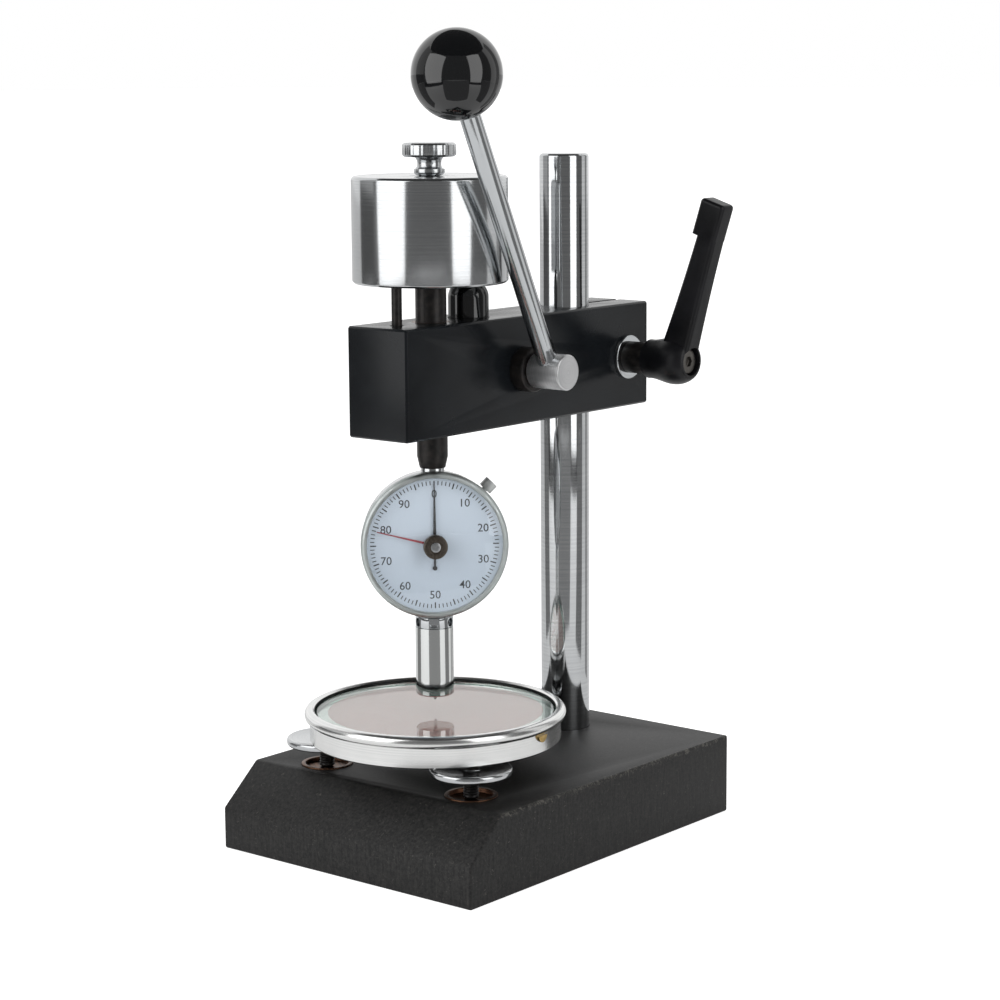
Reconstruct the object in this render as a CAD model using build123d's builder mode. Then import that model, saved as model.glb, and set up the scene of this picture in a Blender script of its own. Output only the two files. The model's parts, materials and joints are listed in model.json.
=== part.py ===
"""Hardness tester: a dial durometer carried by a lever operating stand.

Millimetres, +Z up. The origin is the centre of the base plate's underside.
The spindle stands over the platform at -Y, the column at +Y, and the
operating lever and the clamping handle are on the +X side.
"""
import os
from math import cos, radians, sin, tan

from build123d import *

os.makedirs("parts", exist_ok=True)

# ---------------------------------------------------------------- sizes
running_fit = 0.05          # radial clearance of a shaft in its bore
free_gap = 0.3              # radial clearance where nothing guides
screw_play = 0.1            # radial clearance of a small screw in its hole
bore_run_out = 1.0          # how much deeper a bore goes than what sits in it
small_edge = 0.5
fine_edge = 0.3

# base plate
base_width = 127.5
base_length = 165.5
base_height = 32.2
bevel_drop = 15.6
bevel_run = 18.3
base_edge = 0.6

# column
column_diameter = 20.0
column_y = 55.5
column_top = 270.2
column_seat_depth = 20.0
column_screw_diameter = 10.0
column_screw_head = 16.0
column_screw_head_height = 4.0
column_screw_socket = 4.0    # radius over the corners of its hexagon socket
column_screw_socket_depth = 2.4
column_screw_room = 0.4      # radial clearance of the screw in the plate
column_screw_thread = 18.0
washer_thickness = 2.0
washer_margin = 1.0         # washer outside the screw head, all round
screw_pocket_margin = 1.5   # pocket outside the screw head, all round
screw_pocket_web = 3.2      # from the column's end down to the pocket
column_edge = 0.8

# spindle line
spindle_y = -27.8
spindle_diameter = 12.0
spindle_top_thread = 8.0
spindle_end_diameter = 10.0
spindle_taper = 4.5

# arm
arm_width = 30.0
arm_front = -59.3
arm_back = 92.8
arm_bottom = 165.8
arm_top = 208.4
arm_edge = 0.8
arm_slot = 2.4
bush_wall = 1.5
bush_length = 9.5

# weight and its nut
weight_diameter = 60.0
weight_bottom = 223.5
weight_top = 264.2
weight_edge = 0.9
guide_pin_diameter = 4.0
guide_pin_offset = 19.7
guide_pin_hole = 5.4
guide_pin_seat = 9.0
guide_pin_in_arm = 14.0     # height of the pin's lower end over the arm's underside
nut_flange_bevel = 1.2
nut_neck_flare = 0.8
nut_head_flare = 1.4
nut_rim_bevel = 0.7
nut_flute_offset = 0.35
nut_flute_radius = 0.6
nut_bore_room = 0.5
nut_flange_diameter = 11.9
nut_flange_height = 2.6
nut_neck_diameter = 9.2
nut_neck_height = 4.5
nut_disc_diameter = 20.8
nut_disc_height = 5.3
nut_flutes = 36
nut_dimple_angle = -84.6
nut_dimple_diameter = 1.6
nut_dimple_depth = 1.4

# lever
lever_y = 10.2
lever_z = 187.6
lever_shaft_diameter = 8.0
lever_hub_diameter = 14.0
lever_hub_length = 15.7
lever_rod_x = 28.5
lever_rod_diameter = 8.0
lever_lean = 33.4           # degrees from upright, forwards over the weight
lever_splay = 7.3           # degrees outwards, clear of the weight
lever_length = 138.5        # shaft axis to ball centre
ball_diameter = 33.0
ball_flat = 14.0
lever_bush_flange = 17.6
lever_bush_flange_length = 6.2
lever_bush_outer = 12.0
lever_bore_web = 3.0        # arm left beyond the blind end of the shaft's bore
lever_hub_face = 4.0        # hub left beyond the end of the shaft
lever_edge = 0.4
rod_gap = 1.0               # between the shaft and the rod's end
ball_socket_depth = 11.0

# crank inside the arm
crank_thickness = 4.0
crank_start = spindle_diameter / 2 + 0.6
crank_boss_diameter = 13.0
crank_nose_diameter = 9.0
crank_pin_diameter = 4.0
crank_pin_end = crank_start - 2.9
crank_slot_play = 0.2
crank_slot_floor = crank_pin_end - 0.3
crank_pocket_start = crank_start - 1.6
crank_pocket_end = crank_start + crank_thickness + 0.6
crank_pocket_top = 198.0
crank_pocket_step = 177.5
crank_pocket_room = 0.8     # round the crank's boss
crank_nose_room = 1.0       # round the crank's nose

# damper
damper_y = -5.4
damper_cap_diameter = 16.0
damper_cap_top = 223.2
damper_cap_bottom = 203.2
damper_cap_dome = 6.8
damper_cap_bore_floor = 198.8
damper_bore_diameter = 8.0
damper_rod_diameter = 4.0
damper_piston_top = 188.0
damper_piston_length = 5.0
damper_plug_length = 4.0
damper_plug_slot = 1.2
damper_plug_slot_depth = 1.4
damper_rod_grip = 8.0
damper_spring_diameter = 7.0
damper_spring_wire = 0.7
damper_spring_turns = 5

# clamp
clamp_y = 78.5
clamp_z = 186.3
clamp_thread = 8.0
clamp_play = 0.2
clamp_washer_diameter = 18.0
clamp_washer_thickness = 1.6
clamp_shank_diameter = 13.0
clamp_spline_diameter = 9.0
clamp_shank_end = 27.0
clamp_insert_end = 38.5
clamp_thread_end = -10.0
clamp_hub_end = 47.4
hub_root_radius = 8.0
hub_neck_place = 33.0
hub_neck_radius = 8.6
hub_belly_place = 38.0
hub_belly_radius = 9.6
hub_shoulder_place = 44.0
hub_shoulder_radius = 9.0
hub_face_radius = 6.6
hub_edge = 0.4
hub_edge_rise = 0.6
clamp_recess_diameter = 11.4
clamp_recess_depth = 6.4
clamp_cap_diameter = 10.4
clamp_cap_height = 2.2
clamp_cap_sink = 1.4         # face of the screw below the face of the hub
clamp_cap_socket = 2.3       # radius over the corners of its hexagon socket
clamp_cap_socket_depth = 1.6
clamp_cap_thread = 5.0
clamp_cap_grip = 7.0
clamp_lever_tilt = 18.0     # degrees from upright, away from the arm
clamp_lever_length = 68.0
clamp_grip_root = 40.0      # where the grip's middle line meets the clamp's axis
clamp_grip_sections = (     # distance along the grip, width along Y, depth along X
    (0.0, 10.4, 13.5),
    (16.0, 9.2, 11.9),
    (34.0, 8.6, 10.3),
    (62.0, 8.2, 9.0),
)
grip_corner = 1.8
grip_end_start = 53.0
grip_end_width = 8.8
grip_end_depth = 11.6
grip_end_round = 1.6
grip_end_step = 1.2         # how far the end stands out on the inner side

# platform
ring_diameter = 99.0
ring_lip_diameter = 103.0
ring_bottom = 44.3
ring_top = 57.0
ring_lip_height = 5.5
ring_lip_slope = 2.0        # from the wall out to the lip, below and above the lip's foot
ring_lip_foot = 1.5
ring_lip_edge = 1.2
ring_edge = 0.6
glass_diameter = 95.0
glass_top = 55.4
glass_thickness = 6.0
ring_web_bore = 40.0
ring_screw_diameter = 6.0
ring_screw_angles = (6.0, 186.0)
ring_screw_z = 52.0
ring_screw_stand_out = 0.8
ring_screw_slot = 0.9

# levelling screws
levelling_radius = 43.8
levelling_angles = {"front_right": -31.5, "front_left": 211.5, "rear": 90.0}
levelling_stem_diameter = 6.0
levelling_stem_top = 48.5
levelling_wheel_diameter = 31.6
levelling_wheel_bottom = 40.2
levelling_wheel_thickness = 3.0
levelling_wheel_edge = 1.1
cup_diameter = 20.4
cup_depth = 2.0
cup_lip = 0.4
cup_floor = 0.8
cup_wall = 1.6

# durometer
dial_z = 122.4
dial_heading = 45.0         # degrees from -Y towards +X
case_diameter = 54.8
case_back_depth = -9.2
case_front_depth = 4.8
case_wall = 1.8
case_round = 1.2
case_face = 1.6             # front wall that the bezel runs on
case_spigot_diameter = case_diameter - 5.0
case_opening = case_diameter - 8.0
neck_bottom = 85.9
boss_depth = 4.0
boss_height = 2.0            # stand-out of the stud boss above the case
cover_thickness = 1.6
cover_screw_radius = case_diameter / 2 - 4.0
cover_screw_diameter = 2.0
cover_screw_head = 3.8
cover_screw_head_height = 0.9
cover_screw_grip = 3.0
cover_post_diameter = 5.0
cover_screw_angles = (60.0, 180.0, 300.0)
movement_plate_depth = -3.2
movement_plate_thickness = 1.2
movement_plate_diameter = case_diameter - 4.8
movement_plate_height = case_diameter - 9.6
movement_screw_head = 3.6
movement_screw_grip = 1.0
bezel_diameter = case_diameter + 2.6
bezel_back_depth = 5.1
bezel_front_depth = 9.7
bezel_opening = case_diameter - 2.0
bezel_flange = 0.6
bezel_end_gap = 0.2         # between the spigot's end and the dial plate
bezel_round = 1.3
crystal_diameter = case_diameter - 0.4
crystal_back_depth = 8.2
crystal_thickness = 1.1
dial_plate_diameter = case_diameter - 2.4
dial_plate_depth = 5.7
dial_plate_thickness = 0.6
hand_depth = 6.9
hand_length = dial_plate_diameter / 2 - 2.2
hand_tail = 9.0
hand_thickness = 0.3
hand_root_width = 1.3
hand_tip_width = 0.44
hand_tail_width = 0.7
hand_boss_diameter = 4.0
hand_bulb_diameter = 1.8
arbor_diameter = 1.6
arbor_back_depth = -4.6
drag_hand_depth = 7.6
drag_hand_length = hand_length - 1.0
drag_hand_reading = 79.0
drag_hand_root_width = 1.0
drag_hand_tip_width = 0.36
drag_hand_boss_wall = 0.6
drag_knob_diameter = 10.0
drag_knob_height = 3.4
drag_knob_edge = 0.4
drag_shaft_diameter = 3.0
neck_diameter = 9.0
collar_diameter = 14.8
collar_bottom = 88.9
collar_top = 93.4
collar_holes = 6
collar_hole_angle = -50.6
collar_hole_diameter = 3.4
collar_hole_depth = 2.2
foot_diameter = 15.0
foot_bottom = 61.9
foot_floor = 4.0
foot_bore = 8.0
stud_diameter = 6.0
stud_in_spindle = 8.0
stud_in_case = 5.5
indenter_diameter = 1.25
indenter_tip_diameter = 0.79
indenter_protrusion = 2.5
indenter_hole = 1.8
indenter_rod_diameter = 3.2
indenter_collar_diameter = 6.4
indenter_rod_top = 109.0
indenter_collar_height = 2.0
indenter_cone_angle = 35.0
indenter_spring_diameter = 6.2
indenter_spring_wire = 0.7
indenter_spring_turns = 7
bezel_knob_angle = 45.0
bezel_knob_diameter = 5.6
bezel_knob_length = 3.8
bezel_knob_depth = -1.0
bezel_knob_gap = 1.4        # screw showing between the case and the knob
bezel_screw_diameter = 2.4

# ---------------------------------------------------------------- places
column_bottom = base_height - column_seat_depth
spindle_bottom = dial_z + case_diameter / 2 + boss_height
damper_axis = (0, damper_y)
spindle_axis = (0, spindle_y)
lever_hub_start = arm_width / 2 + lever_bush_flange_length + free_gap
lever_hub_end = lever_hub_start + lever_hub_length
arm_middle = (arm_front + arm_back) / 2

heading = radians(dial_heading)
dial_normal = Vector(sin(heading), -cos(heading), 0)
dial_right = Vector(cos(heading), sin(heading), 0)
dial_axis = Plane(origin=(0, spindle_y, dial_z), x_dir=dial_right, z_dir=dial_normal)


def at_height(z, x=0.0, y=0.0):
    """Horizontal plane at height z with its origin over (x, y)."""
    return Plane(origin=(x, y, z), x_dir=(1, 0, 0), z_dir=(0, 0, 1))


def facing_x(x, y, z):
    """Plane across a shaft that runs along +X; its local x is +Y and y is +Z."""
    return Plane(origin=(x, y, z), x_dir=(0, 1, 0), z_dir=(1, 0, 0))


def dial_plane(depth):
    """Plane parallel to the dial, depth mm in front of the spindle axis."""
    return dial_axis.offset(depth)


def bezel_knob_plane(distance):
    """Plane across the bezel clamp's screw, distance mm from the dial axis."""
    angle = radians(bezel_knob_angle)
    outward = dial_right * cos(angle) + Vector(0, 0, sin(angle))
    centre = dial_axis.offset(bezel_knob_depth).origin + outward * distance
    return Plane(origin=centre, x_dir=dial_normal, z_dir=outward)


def save(piece, name):
    """Label a finished piece and write its STEP file."""
    piece.part.label = name
    export_step(piece.part, f"parts/{name}.step")


# ---------------------------------------------------------------- base
with BuildPart() as base_plate:
    with BuildSketch(Plane.YZ.offset(-base_width / 2)) as side:
        with BuildLine():
            Polyline(
                (-base_length / 2, 0),
                (base_length / 2, 0),
                (base_length / 2, base_height),
                (-base_length / 2 + bevel_run, base_height),
                (-base_length / 2, base_height - bevel_drop),
                close=True,
            )
        make_face()
    extrude(amount=base_width)
    chamfer(base_plate.edges(), base_edge)
    with Locations(at_height(base_height, 0, column_y)):
        Hole(column_diameter / 2 + running_fit, column_seat_depth)
    with Locations(at_height(0, 0, column_y)):
        Cylinder(
            column_screw_diameter / 2 + column_screw_room,
            base_height,
            align=(Align.CENTER, Align.CENTER, Align.MIN),
            mode=Mode.SUBTRACT,
        )
    screw_pocket = column_bottom - screw_pocket_web
    with Locations(at_height(0, 0, column_y)):
        Cylinder(
            column_screw_head / 2 + screw_pocket_margin,
            screw_pocket,
            align=(Align.CENTER, Align.CENTER, Align.MIN),
            mode=Mode.SUBTRACT,
        )
    with Locations(at_height(base_height, 0, spindle_y)):
        for angle in levelling_angles.values():
            with PolarLocations(levelling_radius, 1, start_angle=angle):
                Hole(cup_diameter / 2, cup_depth)
save(base_plate, "base_plate")

with BuildPart() as levelling_cups:
    for angle in levelling_angles.values():
        cup_x = levelling_radius * cos(radians(angle))
        cup_y = spindle_y + levelling_radius * sin(radians(angle))
        with BuildSketch(at_height(base_height - cup_depth, cup_x, cup_y)):
            Circle(cup_diameter / 2)
        extrude(amount=cup_depth + cup_lip)
        with BuildSketch(at_height(base_height - cup_depth + cup_floor, cup_x, cup_y)):
            Circle(cup_diameter / 2 - cup_wall)
        extrude(amount=cup_depth, mode=Mode.SUBTRACT)
save(levelling_cups, "levelling_cups")

# ---------------------------------------------------------------- column
with BuildPart() as column:
    with BuildSketch(at_height(column_bottom, 0, column_y)):
        Circle(column_diameter / 2)
    extrude(amount=column_top - column_bottom)
    chamfer(column.edges().filter_by(GeomType.CIRCLE), column_edge)
    with Locations(at_height(column_bottom, 0, column_y)):
        Cylinder(
            column_screw_diameter / 2,
            column_screw_thread,
            align=(Align.CENTER, Align.CENTER, Align.MIN),
            mode=Mode.SUBTRACT,
        )
save(column, "column")

screw_seat = screw_pocket - washer_thickness
with BuildPart() as column_washer:
    with BuildSketch(at_height(screw_seat, 0, column_y)):
        Circle(column_screw_head / 2 + washer_margin)
        Circle(column_screw_diameter / 2 + free_gap, mode=Mode.SUBTRACT)
    extrude(amount=washer_thickness)
save(column_washer, "column_washer")

with BuildPart() as column_screw:
    head_bottom = screw_seat - column_screw_head_height
    with BuildSketch(at_height(head_bottom, 0, column_y)):
        Circle(column_screw_head / 2)
    extrude(amount=column_screw_head_height)
    with BuildSketch(at_height(screw_seat, 0, column_y)):
        Circle(column_screw_diameter / 2)
    extrude(amount=column_bottom + column_screw_thread - bore_run_out - screw_seat)
    with BuildSketch(at_height(head_bottom, 0, column_y)):
        RegularPolygon(column_screw_socket, 6)
    extrude(amount=column_screw_socket_depth, mode=Mode.SUBTRACT)
save(column_screw, "column_screw")

# ---------------------------------------------------------------- arm
arm_height = arm_top - arm_bottom
arm_length = arm_back - arm_front
with BuildPart() as arm_block:
    with BuildSketch(at_height(arm_bottom, 0, arm_middle)):
        Rectangle(arm_width, arm_length)
    extrude(amount=arm_height)
    chamfer(arm_block.edges(), arm_edge)
    # column bore and the slot that lets the clamp close it
    with Locations(at_height(arm_top, 0, column_y)):
        Hole(column_diameter / 2 + running_fit)
    slot_length = arm_back - column_y
    with BuildSketch(at_height(arm_bottom, 0, column_y + slot_length / 2)):
        Rectangle(arm_slot, slot_length)
    extrude(amount=arm_height, mode=Mode.SUBTRACT)
    # spindle bore with a counterbore at each end for its bushes
    with Locations(at_height(arm_top, 0, spindle_y)):
        Hole(spindle_diameter / 2 + free_gap)
        Hole(spindle_diameter / 2 + bush_wall, bush_length)
    with Locations(at_height(arm_bottom, 0, spindle_y).rotated((180, 0, 0))):
        Hole(spindle_diameter / 2 + bush_wall, bush_length)
    # guide pin hole
    with Locations(at_height(arm_top, 0, spindle_y - guide_pin_offset)):
        Hole(guide_pin_hole / 2)
    # damper: bore for the cap, and below it the cylinder
    with Locations(at_height(arm_top, *damper_axis)):
        Hole(damper_cap_diameter / 2 + free_gap, arm_top - damper_cap_bore_floor)
        Hole(damper_bore_diameter / 2)
    # lever shaft: blind bore from the pocket side, larger where its bush sits
    with Locations(facing_x(arm_width / 2, lever_y, lever_z)):
        Hole(lever_shaft_diameter / 2 + running_fit, arm_width - lever_bore_web)
        Hole(lever_bush_outer / 2, arm_width / 2 - crank_pocket_end)
    # clamp screw: clear on the handle side of the slot, tapped on the other
    with Locations(facing_x(arm_width / 2, clamp_y, clamp_z)):
        Hole(clamp_thread / 2 + running_fit, arm_width / 2 - clamp_thread_end + bore_run_out)
        Hole(clamp_thread / 2 + clamp_play, arm_width / 2)
    # pocket of the crank, open at the underside behind the spindle
    pocket_width = crank_pocket_end - crank_pocket_start
    pocket_x = (crank_pocket_end + crank_pocket_start) / 2
    pocket_back = lever_y + crank_boss_diameter / 2 + crank_pocket_room
    pocket_mid = spindle_y + spindle_diameter
    pocket_front = spindle_y - crank_nose_diameter / 2 - crank_nose_room
    with BuildSketch(at_height(arm_bottom, pocket_x, (pocket_back + pocket_mid) / 2)):
        Rectangle(pocket_width, pocket_back - pocket_mid)
    extrude(amount=crank_pocket_top - arm_bottom, mode=Mode.SUBTRACT)
    with BuildSketch(at_height(crank_pocket_step, pocket_x, (pocket_front + pocket_mid) / 2)):
        Rectangle(pocket_width, pocket_mid - pocket_front + crank_nose_room)
    extrude(amount=crank_pocket_top - crank_pocket_step, mode=Mode.SUBTRACT)
save(arm_block, "arm_block")

with BuildPart() as spindle_bushes:
    for bush_bottom in (arm_bottom, arm_top - bush_length):
        with BuildSketch(at_height(bush_bottom, 0, spindle_y)):
            Circle(spindle_diameter / 2 + bush_wall)
            Circle(spindle_diameter / 2 + running_fit, mode=Mode.SUBTRACT)
        extrude(amount=bush_length)
save(spindle_bushes, "spindle_bushes")

with BuildPart() as lever_bush:
    with BuildSketch(facing_x(crank_pocket_end, lever_y, lever_z)):
        Circle(lever_bush_outer / 2)
    extrude(amount=arm_width / 2 - crank_pocket_end)
    with BuildSketch(facing_x(arm_width / 2, lever_y, lever_z)):
        Circle(lever_bush_flange / 2)
    extrude(amount=lever_bush_flange_length)
    outer_rim = lever_bush.faces().sort_by(Axis.X)[-1].edges()
    chamfer(outer_rim, small_edge)
    with Locations(facing_x(arm_width / 2, lever_y, lever_z)):
        Cylinder(
            lever_shaft_diameter / 2 + running_fit,
            arm_width,
            mode=Mode.SUBTRACT,
        )
save(lever_bush, "lever_bush")

with BuildPart() as damper_plug:
    with BuildSketch(at_height(arm_bottom, *damper_axis)):
        Circle(damper_bore_diameter / 2)
    extrude(amount=damper_plug_length)
    with BuildSketch(at_height(arm_bottom, *damper_axis)):
        Rectangle(damper_bore_diameter, damper_plug_slot)
    extrude(amount=damper_plug_slot_depth, mode=Mode.SUBTRACT)
save(damper_plug, "damper_plug")

# ---------------------------------------------------------------- clamp
with BuildPart() as clamp_washer:
    with BuildSketch(facing_x(arm_width / 2, clamp_y, clamp_z)):
        Circle(clamp_washer_diameter / 2)
        Circle(clamp_thread / 2 + free_gap, mode=Mode.SUBTRACT)
    extrude(amount=clamp_washer_thickness)
    chamfer(clamp_washer.faces().sort_by(Axis.X)[-1].edges().sort_by(SortBy.LENGTH)[-1], fine_edge)
save(clamp_washer, "clamp_washer")

shank_start = arm_width / 2 + clamp_washer_thickness
with BuildPart() as clamp_stud:
    with BuildSketch(facing_x(clamp_thread_end, clamp_y, clamp_z)):
        Circle(clamp_thread / 2)
    extrude(amount=shank_start - clamp_thread_end)
    with BuildSketch(facing_x(shank_start, clamp_y, clamp_z)):
        Circle(clamp_shank_diameter / 2)
    extrude(amount=clamp_shank_end - shank_start)
    with BuildSketch(facing_x(clamp_shank_end, clamp_y, clamp_z)):
        Circle(clamp_spline_diameter / 2)
    extrude(amount=clamp_insert_end - clamp_shank_end)
    with Locations(facing_x(clamp_insert_end, clamp_y, clamp_z)):
        Hole(clamp_cap_thread / 2, clamp_cap_grip + bore_run_out)
save(clamp_stud, "clamp_stud")

with BuildPart() as clamp_cap_screw:
    head_start = clamp_hub_end - clamp_cap_height - clamp_cap_sink
    with BuildSketch(facing_x(head_start, clamp_y, clamp_z)):
        Circle(clamp_cap_diameter / 2)
    extrude(amount=clamp_cap_height)
    chamfer(clamp_cap_screw.faces().sort_by(Axis.X)[-1].edges(), small_edge)
    with BuildSketch(facing_x(clamp_insert_end - clamp_cap_grip, clamp_y, clamp_z)):
        Circle(clamp_cap_thread / 2)
    extrude(amount=head_start - clamp_insert_end + clamp_cap_grip)
    with BuildSketch(facing_x(head_start + clamp_cap_height, clamp_y, clamp_z)):
        RegularPolygon(clamp_cap_socket, 6)
    extrude(amount=-clamp_cap_socket_depth, mode=Mode.SUBTRACT)
save(clamp_cap_screw, "clamp_cap_screw")

tilt = radians(clamp_lever_tilt)
grip_direction = Vector(sin(tilt), 0, cos(tilt))


def grip_plane(distance):
    """Section plane across the handle's grip, distance mm along it."""
    centre = Vector(clamp_grip_root, clamp_y, clamp_z) + grip_direction * distance
    return Plane(origin=centre, x_dir=(0, 1, 0), z_dir=grip_direction)


clamp_axis = Axis((0, clamp_y, clamp_z), (1, 0, 0))
with BuildPart() as clamp_handle:
    with BuildSketch(Plane(origin=clamp_axis.position, x_dir=(1, 0, 0), z_dir=(0, -1, 0))):
        with BuildLine():
            Polyline((clamp_hub_end, 0), (clamp_shank_end, 0), (clamp_shank_end, hub_root_radius))
            Spline(
                (clamp_shank_end, hub_root_radius),
                (hub_neck_place, hub_neck_radius),
                (hub_belly_place, hub_belly_radius),
                (hub_shoulder_place, hub_shoulder_radius),
                (clamp_hub_end - hub_edge, hub_face_radius + hub_edge_rise),
            )
            Polyline(
                (clamp_hub_end - hub_edge, hub_face_radius + hub_edge_rise),
                (clamp_hub_end, hub_face_radius),
                (clamp_hub_end, 0),
            )
        make_face()
    revolve(axis=clamp_axis)
    # tapered grip, and the thicker end that the fingers pull on
    for distance, across_y, across_x in clamp_grip_sections:
        with BuildSketch(grip_plane(distance)):
            RectangleRounded(across_y, across_x, grip_corner)
    loft()
    with BuildSketch(grip_plane(grip_end_start)):
        with Locations((0, grip_end_step)):
            RectangleRounded(grip_end_width, grip_end_depth, grip_corner)
    extrude(amount=clamp_lever_length - grip_end_start)
    fillet(clamp_handle.faces().sort_by(Axis.Z)[-1].edges(), grip_end_round)
    with Locations(facing_x(clamp_hub_end, clamp_y, clamp_z)):
        Hole(clamp_recess_diameter / 2, clamp_recess_depth)
        Hole(clamp_spline_diameter / 2 + running_fit)
save(clamp_handle, "clamp_handle")

# ---------------------------------------------------------------- lever
with BuildPart() as lever_shaft:
    shaft_start = -arm_width / 2 + lever_bore_web + small_edge
    with BuildSketch(facing_x(shaft_start, lever_y, lever_z)):
        Circle(lever_shaft_diameter / 2)
    extrude(amount=lever_hub_end - lever_hub_face - shaft_start)
save(lever_shaft, "lever_shaft")

lean = radians(lever_lean)
splay = radians(lever_splay)
rod_direction = Vector(sin(splay), -cos(splay) * sin(lean), cos(splay) * cos(lean))
shaft_centre = Vector(lever_rod_x, lever_y, lever_z)
rod_start = lever_shaft_diameter / 2 + rod_gap
ball_flat_distance = ((ball_diameter / 2) ** 2 - (ball_flat / 2) ** 2) ** 0.5
rod_end = lever_length - ball_flat_distance + ball_socket_depth


def along_lever(distance):
    """Plane across the lever rod, distance mm from the shaft axis."""
    centre = shaft_centre + rod_direction * distance
    return Plane(origin=centre, x_dir=(1, 0, 0), z_dir=rod_direction)


with BuildPart() as lever_hub:
    with BuildSketch(facing_x(lever_hub_start, lever_y, lever_z)):
        Circle(lever_hub_diameter / 2)
    extrude(amount=lever_hub_end - lever_hub_start)
    chamfer(lever_hub.edges().filter_by(GeomType.CIRCLE), lever_edge)
    with Locations(facing_x(lever_hub_start, lever_y, lever_z).rotated((0, 180, 0))):
        Hole(lever_shaft_diameter / 2, lever_hub_end - lever_hub_face - lever_hub_start)
    with BuildSketch(along_lever(rod_start)):
        Circle(lever_rod_diameter / 2)
    extrude(amount=lever_hub_diameter, mode=Mode.SUBTRACT)
save(lever_hub, "lever_hub")

with BuildPart() as lever_rod:
    with BuildSketch(along_lever(rod_start)):
        Circle(lever_rod_diameter / 2)
    extrude(amount=rod_end - rod_start)
save(lever_rod, "lever_rod")

with BuildPart() as lever_ball:
    with Locations(along_lever(lever_length)):
        Sphere(ball_diameter / 2)
    split(bisect_by=along_lever(lever_length - ball_flat_distance), keep=Keep.TOP)
    with BuildSketch(along_lever(lever_length - ball_flat_distance)):
        Circle(lever_rod_diameter / 2)
    extrude(amount=ball_socket_depth, mode=Mode.SUBTRACT)
save(lever_ball, "lever_ball")

crank_end = crank_start + crank_thickness
with BuildPart() as lever_crank:
    with BuildSketch(facing_x(crank_start, 0, 0)):
        with Locations((lever_y, lever_z)):
            Circle(crank_boss_diameter / 2)
        with Locations((spindle_y, lever_z)):
            Circle(crank_nose_diameter / 2)
        make_hull()
        with Locations((lever_y, lever_z)):
            Circle(lever_shaft_diameter / 2, mode=Mode.SUBTRACT)
        with Locations((spindle_y, lever_z)):
            Circle(crank_pin_diameter / 2, mode=Mode.SUBTRACT)
    extrude(amount=crank_thickness)
save(lever_crank, "lever_crank")

with BuildPart() as crank_pin:
    with BuildSketch(facing_x(crank_pin_end, spindle_y, lever_z)):
        Circle(crank_pin_diameter / 2)
    extrude(amount=crank_end - crank_pin_end)
save(crank_pin, "crank_pin")

# ---------------------------------------------------------------- damper
with BuildPart() as damper_cap:
    with BuildSketch(at_height(damper_cap_bottom, *damper_axis)):
        Circle(damper_cap_diameter / 2)
    extrude(amount=damper_cap_top - damper_cap_bottom)
    fillet(damper_cap.faces().sort_by(Axis.Z)[-1].edges(), damper_cap_dome)
    with BuildSketch(at_height(damper_cap_bottom, *damper_axis)):
        Circle(damper_rod_diameter / 2)
    extrude(amount=damper_rod_grip, mode=Mode.SUBTRACT)
save(damper_cap, "damper_cap")

piston_bottom = damper_piston_top - damper_piston_length
with BuildPart() as damper_piston:
    with BuildSketch(at_height(piston_bottom, *damper_axis)):
        Circle(damper_bore_diameter / 2 - running_fit)
    extrude(amount=damper_piston_length)
    with BuildSketch(at_height(damper_piston_top, *damper_axis)):
        Circle(damper_rod_diameter / 2)
    extrude(amount=damper_cap_bottom + damper_rod_grip - damper_piston_top)
save(damper_piston, "damper_piston")


def coil(name, low, high, at, coil_diameter, wire, turns):
    """Open helical spring between two heights, with its label and STEP file."""
    pitch = (high - low - 2 * wire) / turns
    radius = (coil_diameter - wire) / 2
    start = at_height(low + wire, *at)
    path = Helix(pitch, pitch * turns, radius, center=start.origin)
    with BuildPart() as spring:
        with BuildSketch(Plane(origin=path @ 0, z_dir=path % 0)):
            Circle(wire / 2)
        sweep(path=path, is_frenet=True)
    save(spring, name)


damper_plug_top = arm_bottom + damper_plug_length
coil(
    "damper_spring",
    damper_plug_top,
    piston_bottom,
    damper_axis,
    damper_spring_diameter,
    damper_spring_wire,
    damper_spring_turns,
)

# ---------------------------------------------------------------- spindle
thread_top = weight_top + nut_flange_height + nut_neck_height
with BuildPart() as spindle:
    with BuildSketch(Plane.YZ):
        with BuildLine():
            Polyline(
                (spindle_y, spindle_bottom),
                (spindle_y + spindle_end_diameter / 2, spindle_bottom),
                (spindle_y + spindle_diameter / 2, spindle_bottom + spindle_taper),
                (spindle_y + spindle_diameter / 2, weight_bottom),
                (spindle_y + spindle_top_thread / 2, weight_bottom),
                (spindle_y + spindle_top_thread / 2, thread_top),
                (spindle_y, thread_top),
                close=True,
            )
        make_face()
    revolve(axis=Axis((0, spindle_y, 0), (0, 0, 1)))
    # cross slot for the crank pin
    slot_height = crank_pin_diameter + 2 * crank_slot_play
    with BuildSketch(facing_x(crank_slot_floor, spindle_y, lever_z)):
        Rectangle(spindle_diameter, slot_height)
    extrude(amount=spindle_diameter, mode=Mode.SUBTRACT)
    # socket of the durometer's stud
    with BuildSketch(at_height(spindle_bottom, 0, spindle_y)):
        Circle(stud_diameter / 2)
    extrude(amount=stud_in_spindle + bore_run_out, mode=Mode.SUBTRACT)
save(spindle, "spindle")

pin_y = spindle_y - guide_pin_offset
with BuildPart() as weight:
    with BuildSketch(at_height(weight_bottom, 0, spindle_y)):
        Circle(weight_diameter / 2)
        Circle(spindle_top_thread / 2 + running_fit, mode=Mode.SUBTRACT)
    extrude(amount=weight_top - weight_bottom)
    chamfer(weight.edges().filter_by(GeomType.CIRCLE).sort_by(SortBy.RADIUS)[-2:], weight_edge)
    with BuildSketch(at_height(weight_bottom, 0, pin_y)):
        Circle(guide_pin_diameter / 2)
    extrude(amount=guide_pin_seat, mode=Mode.SUBTRACT)
save(weight, "weight")

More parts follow.
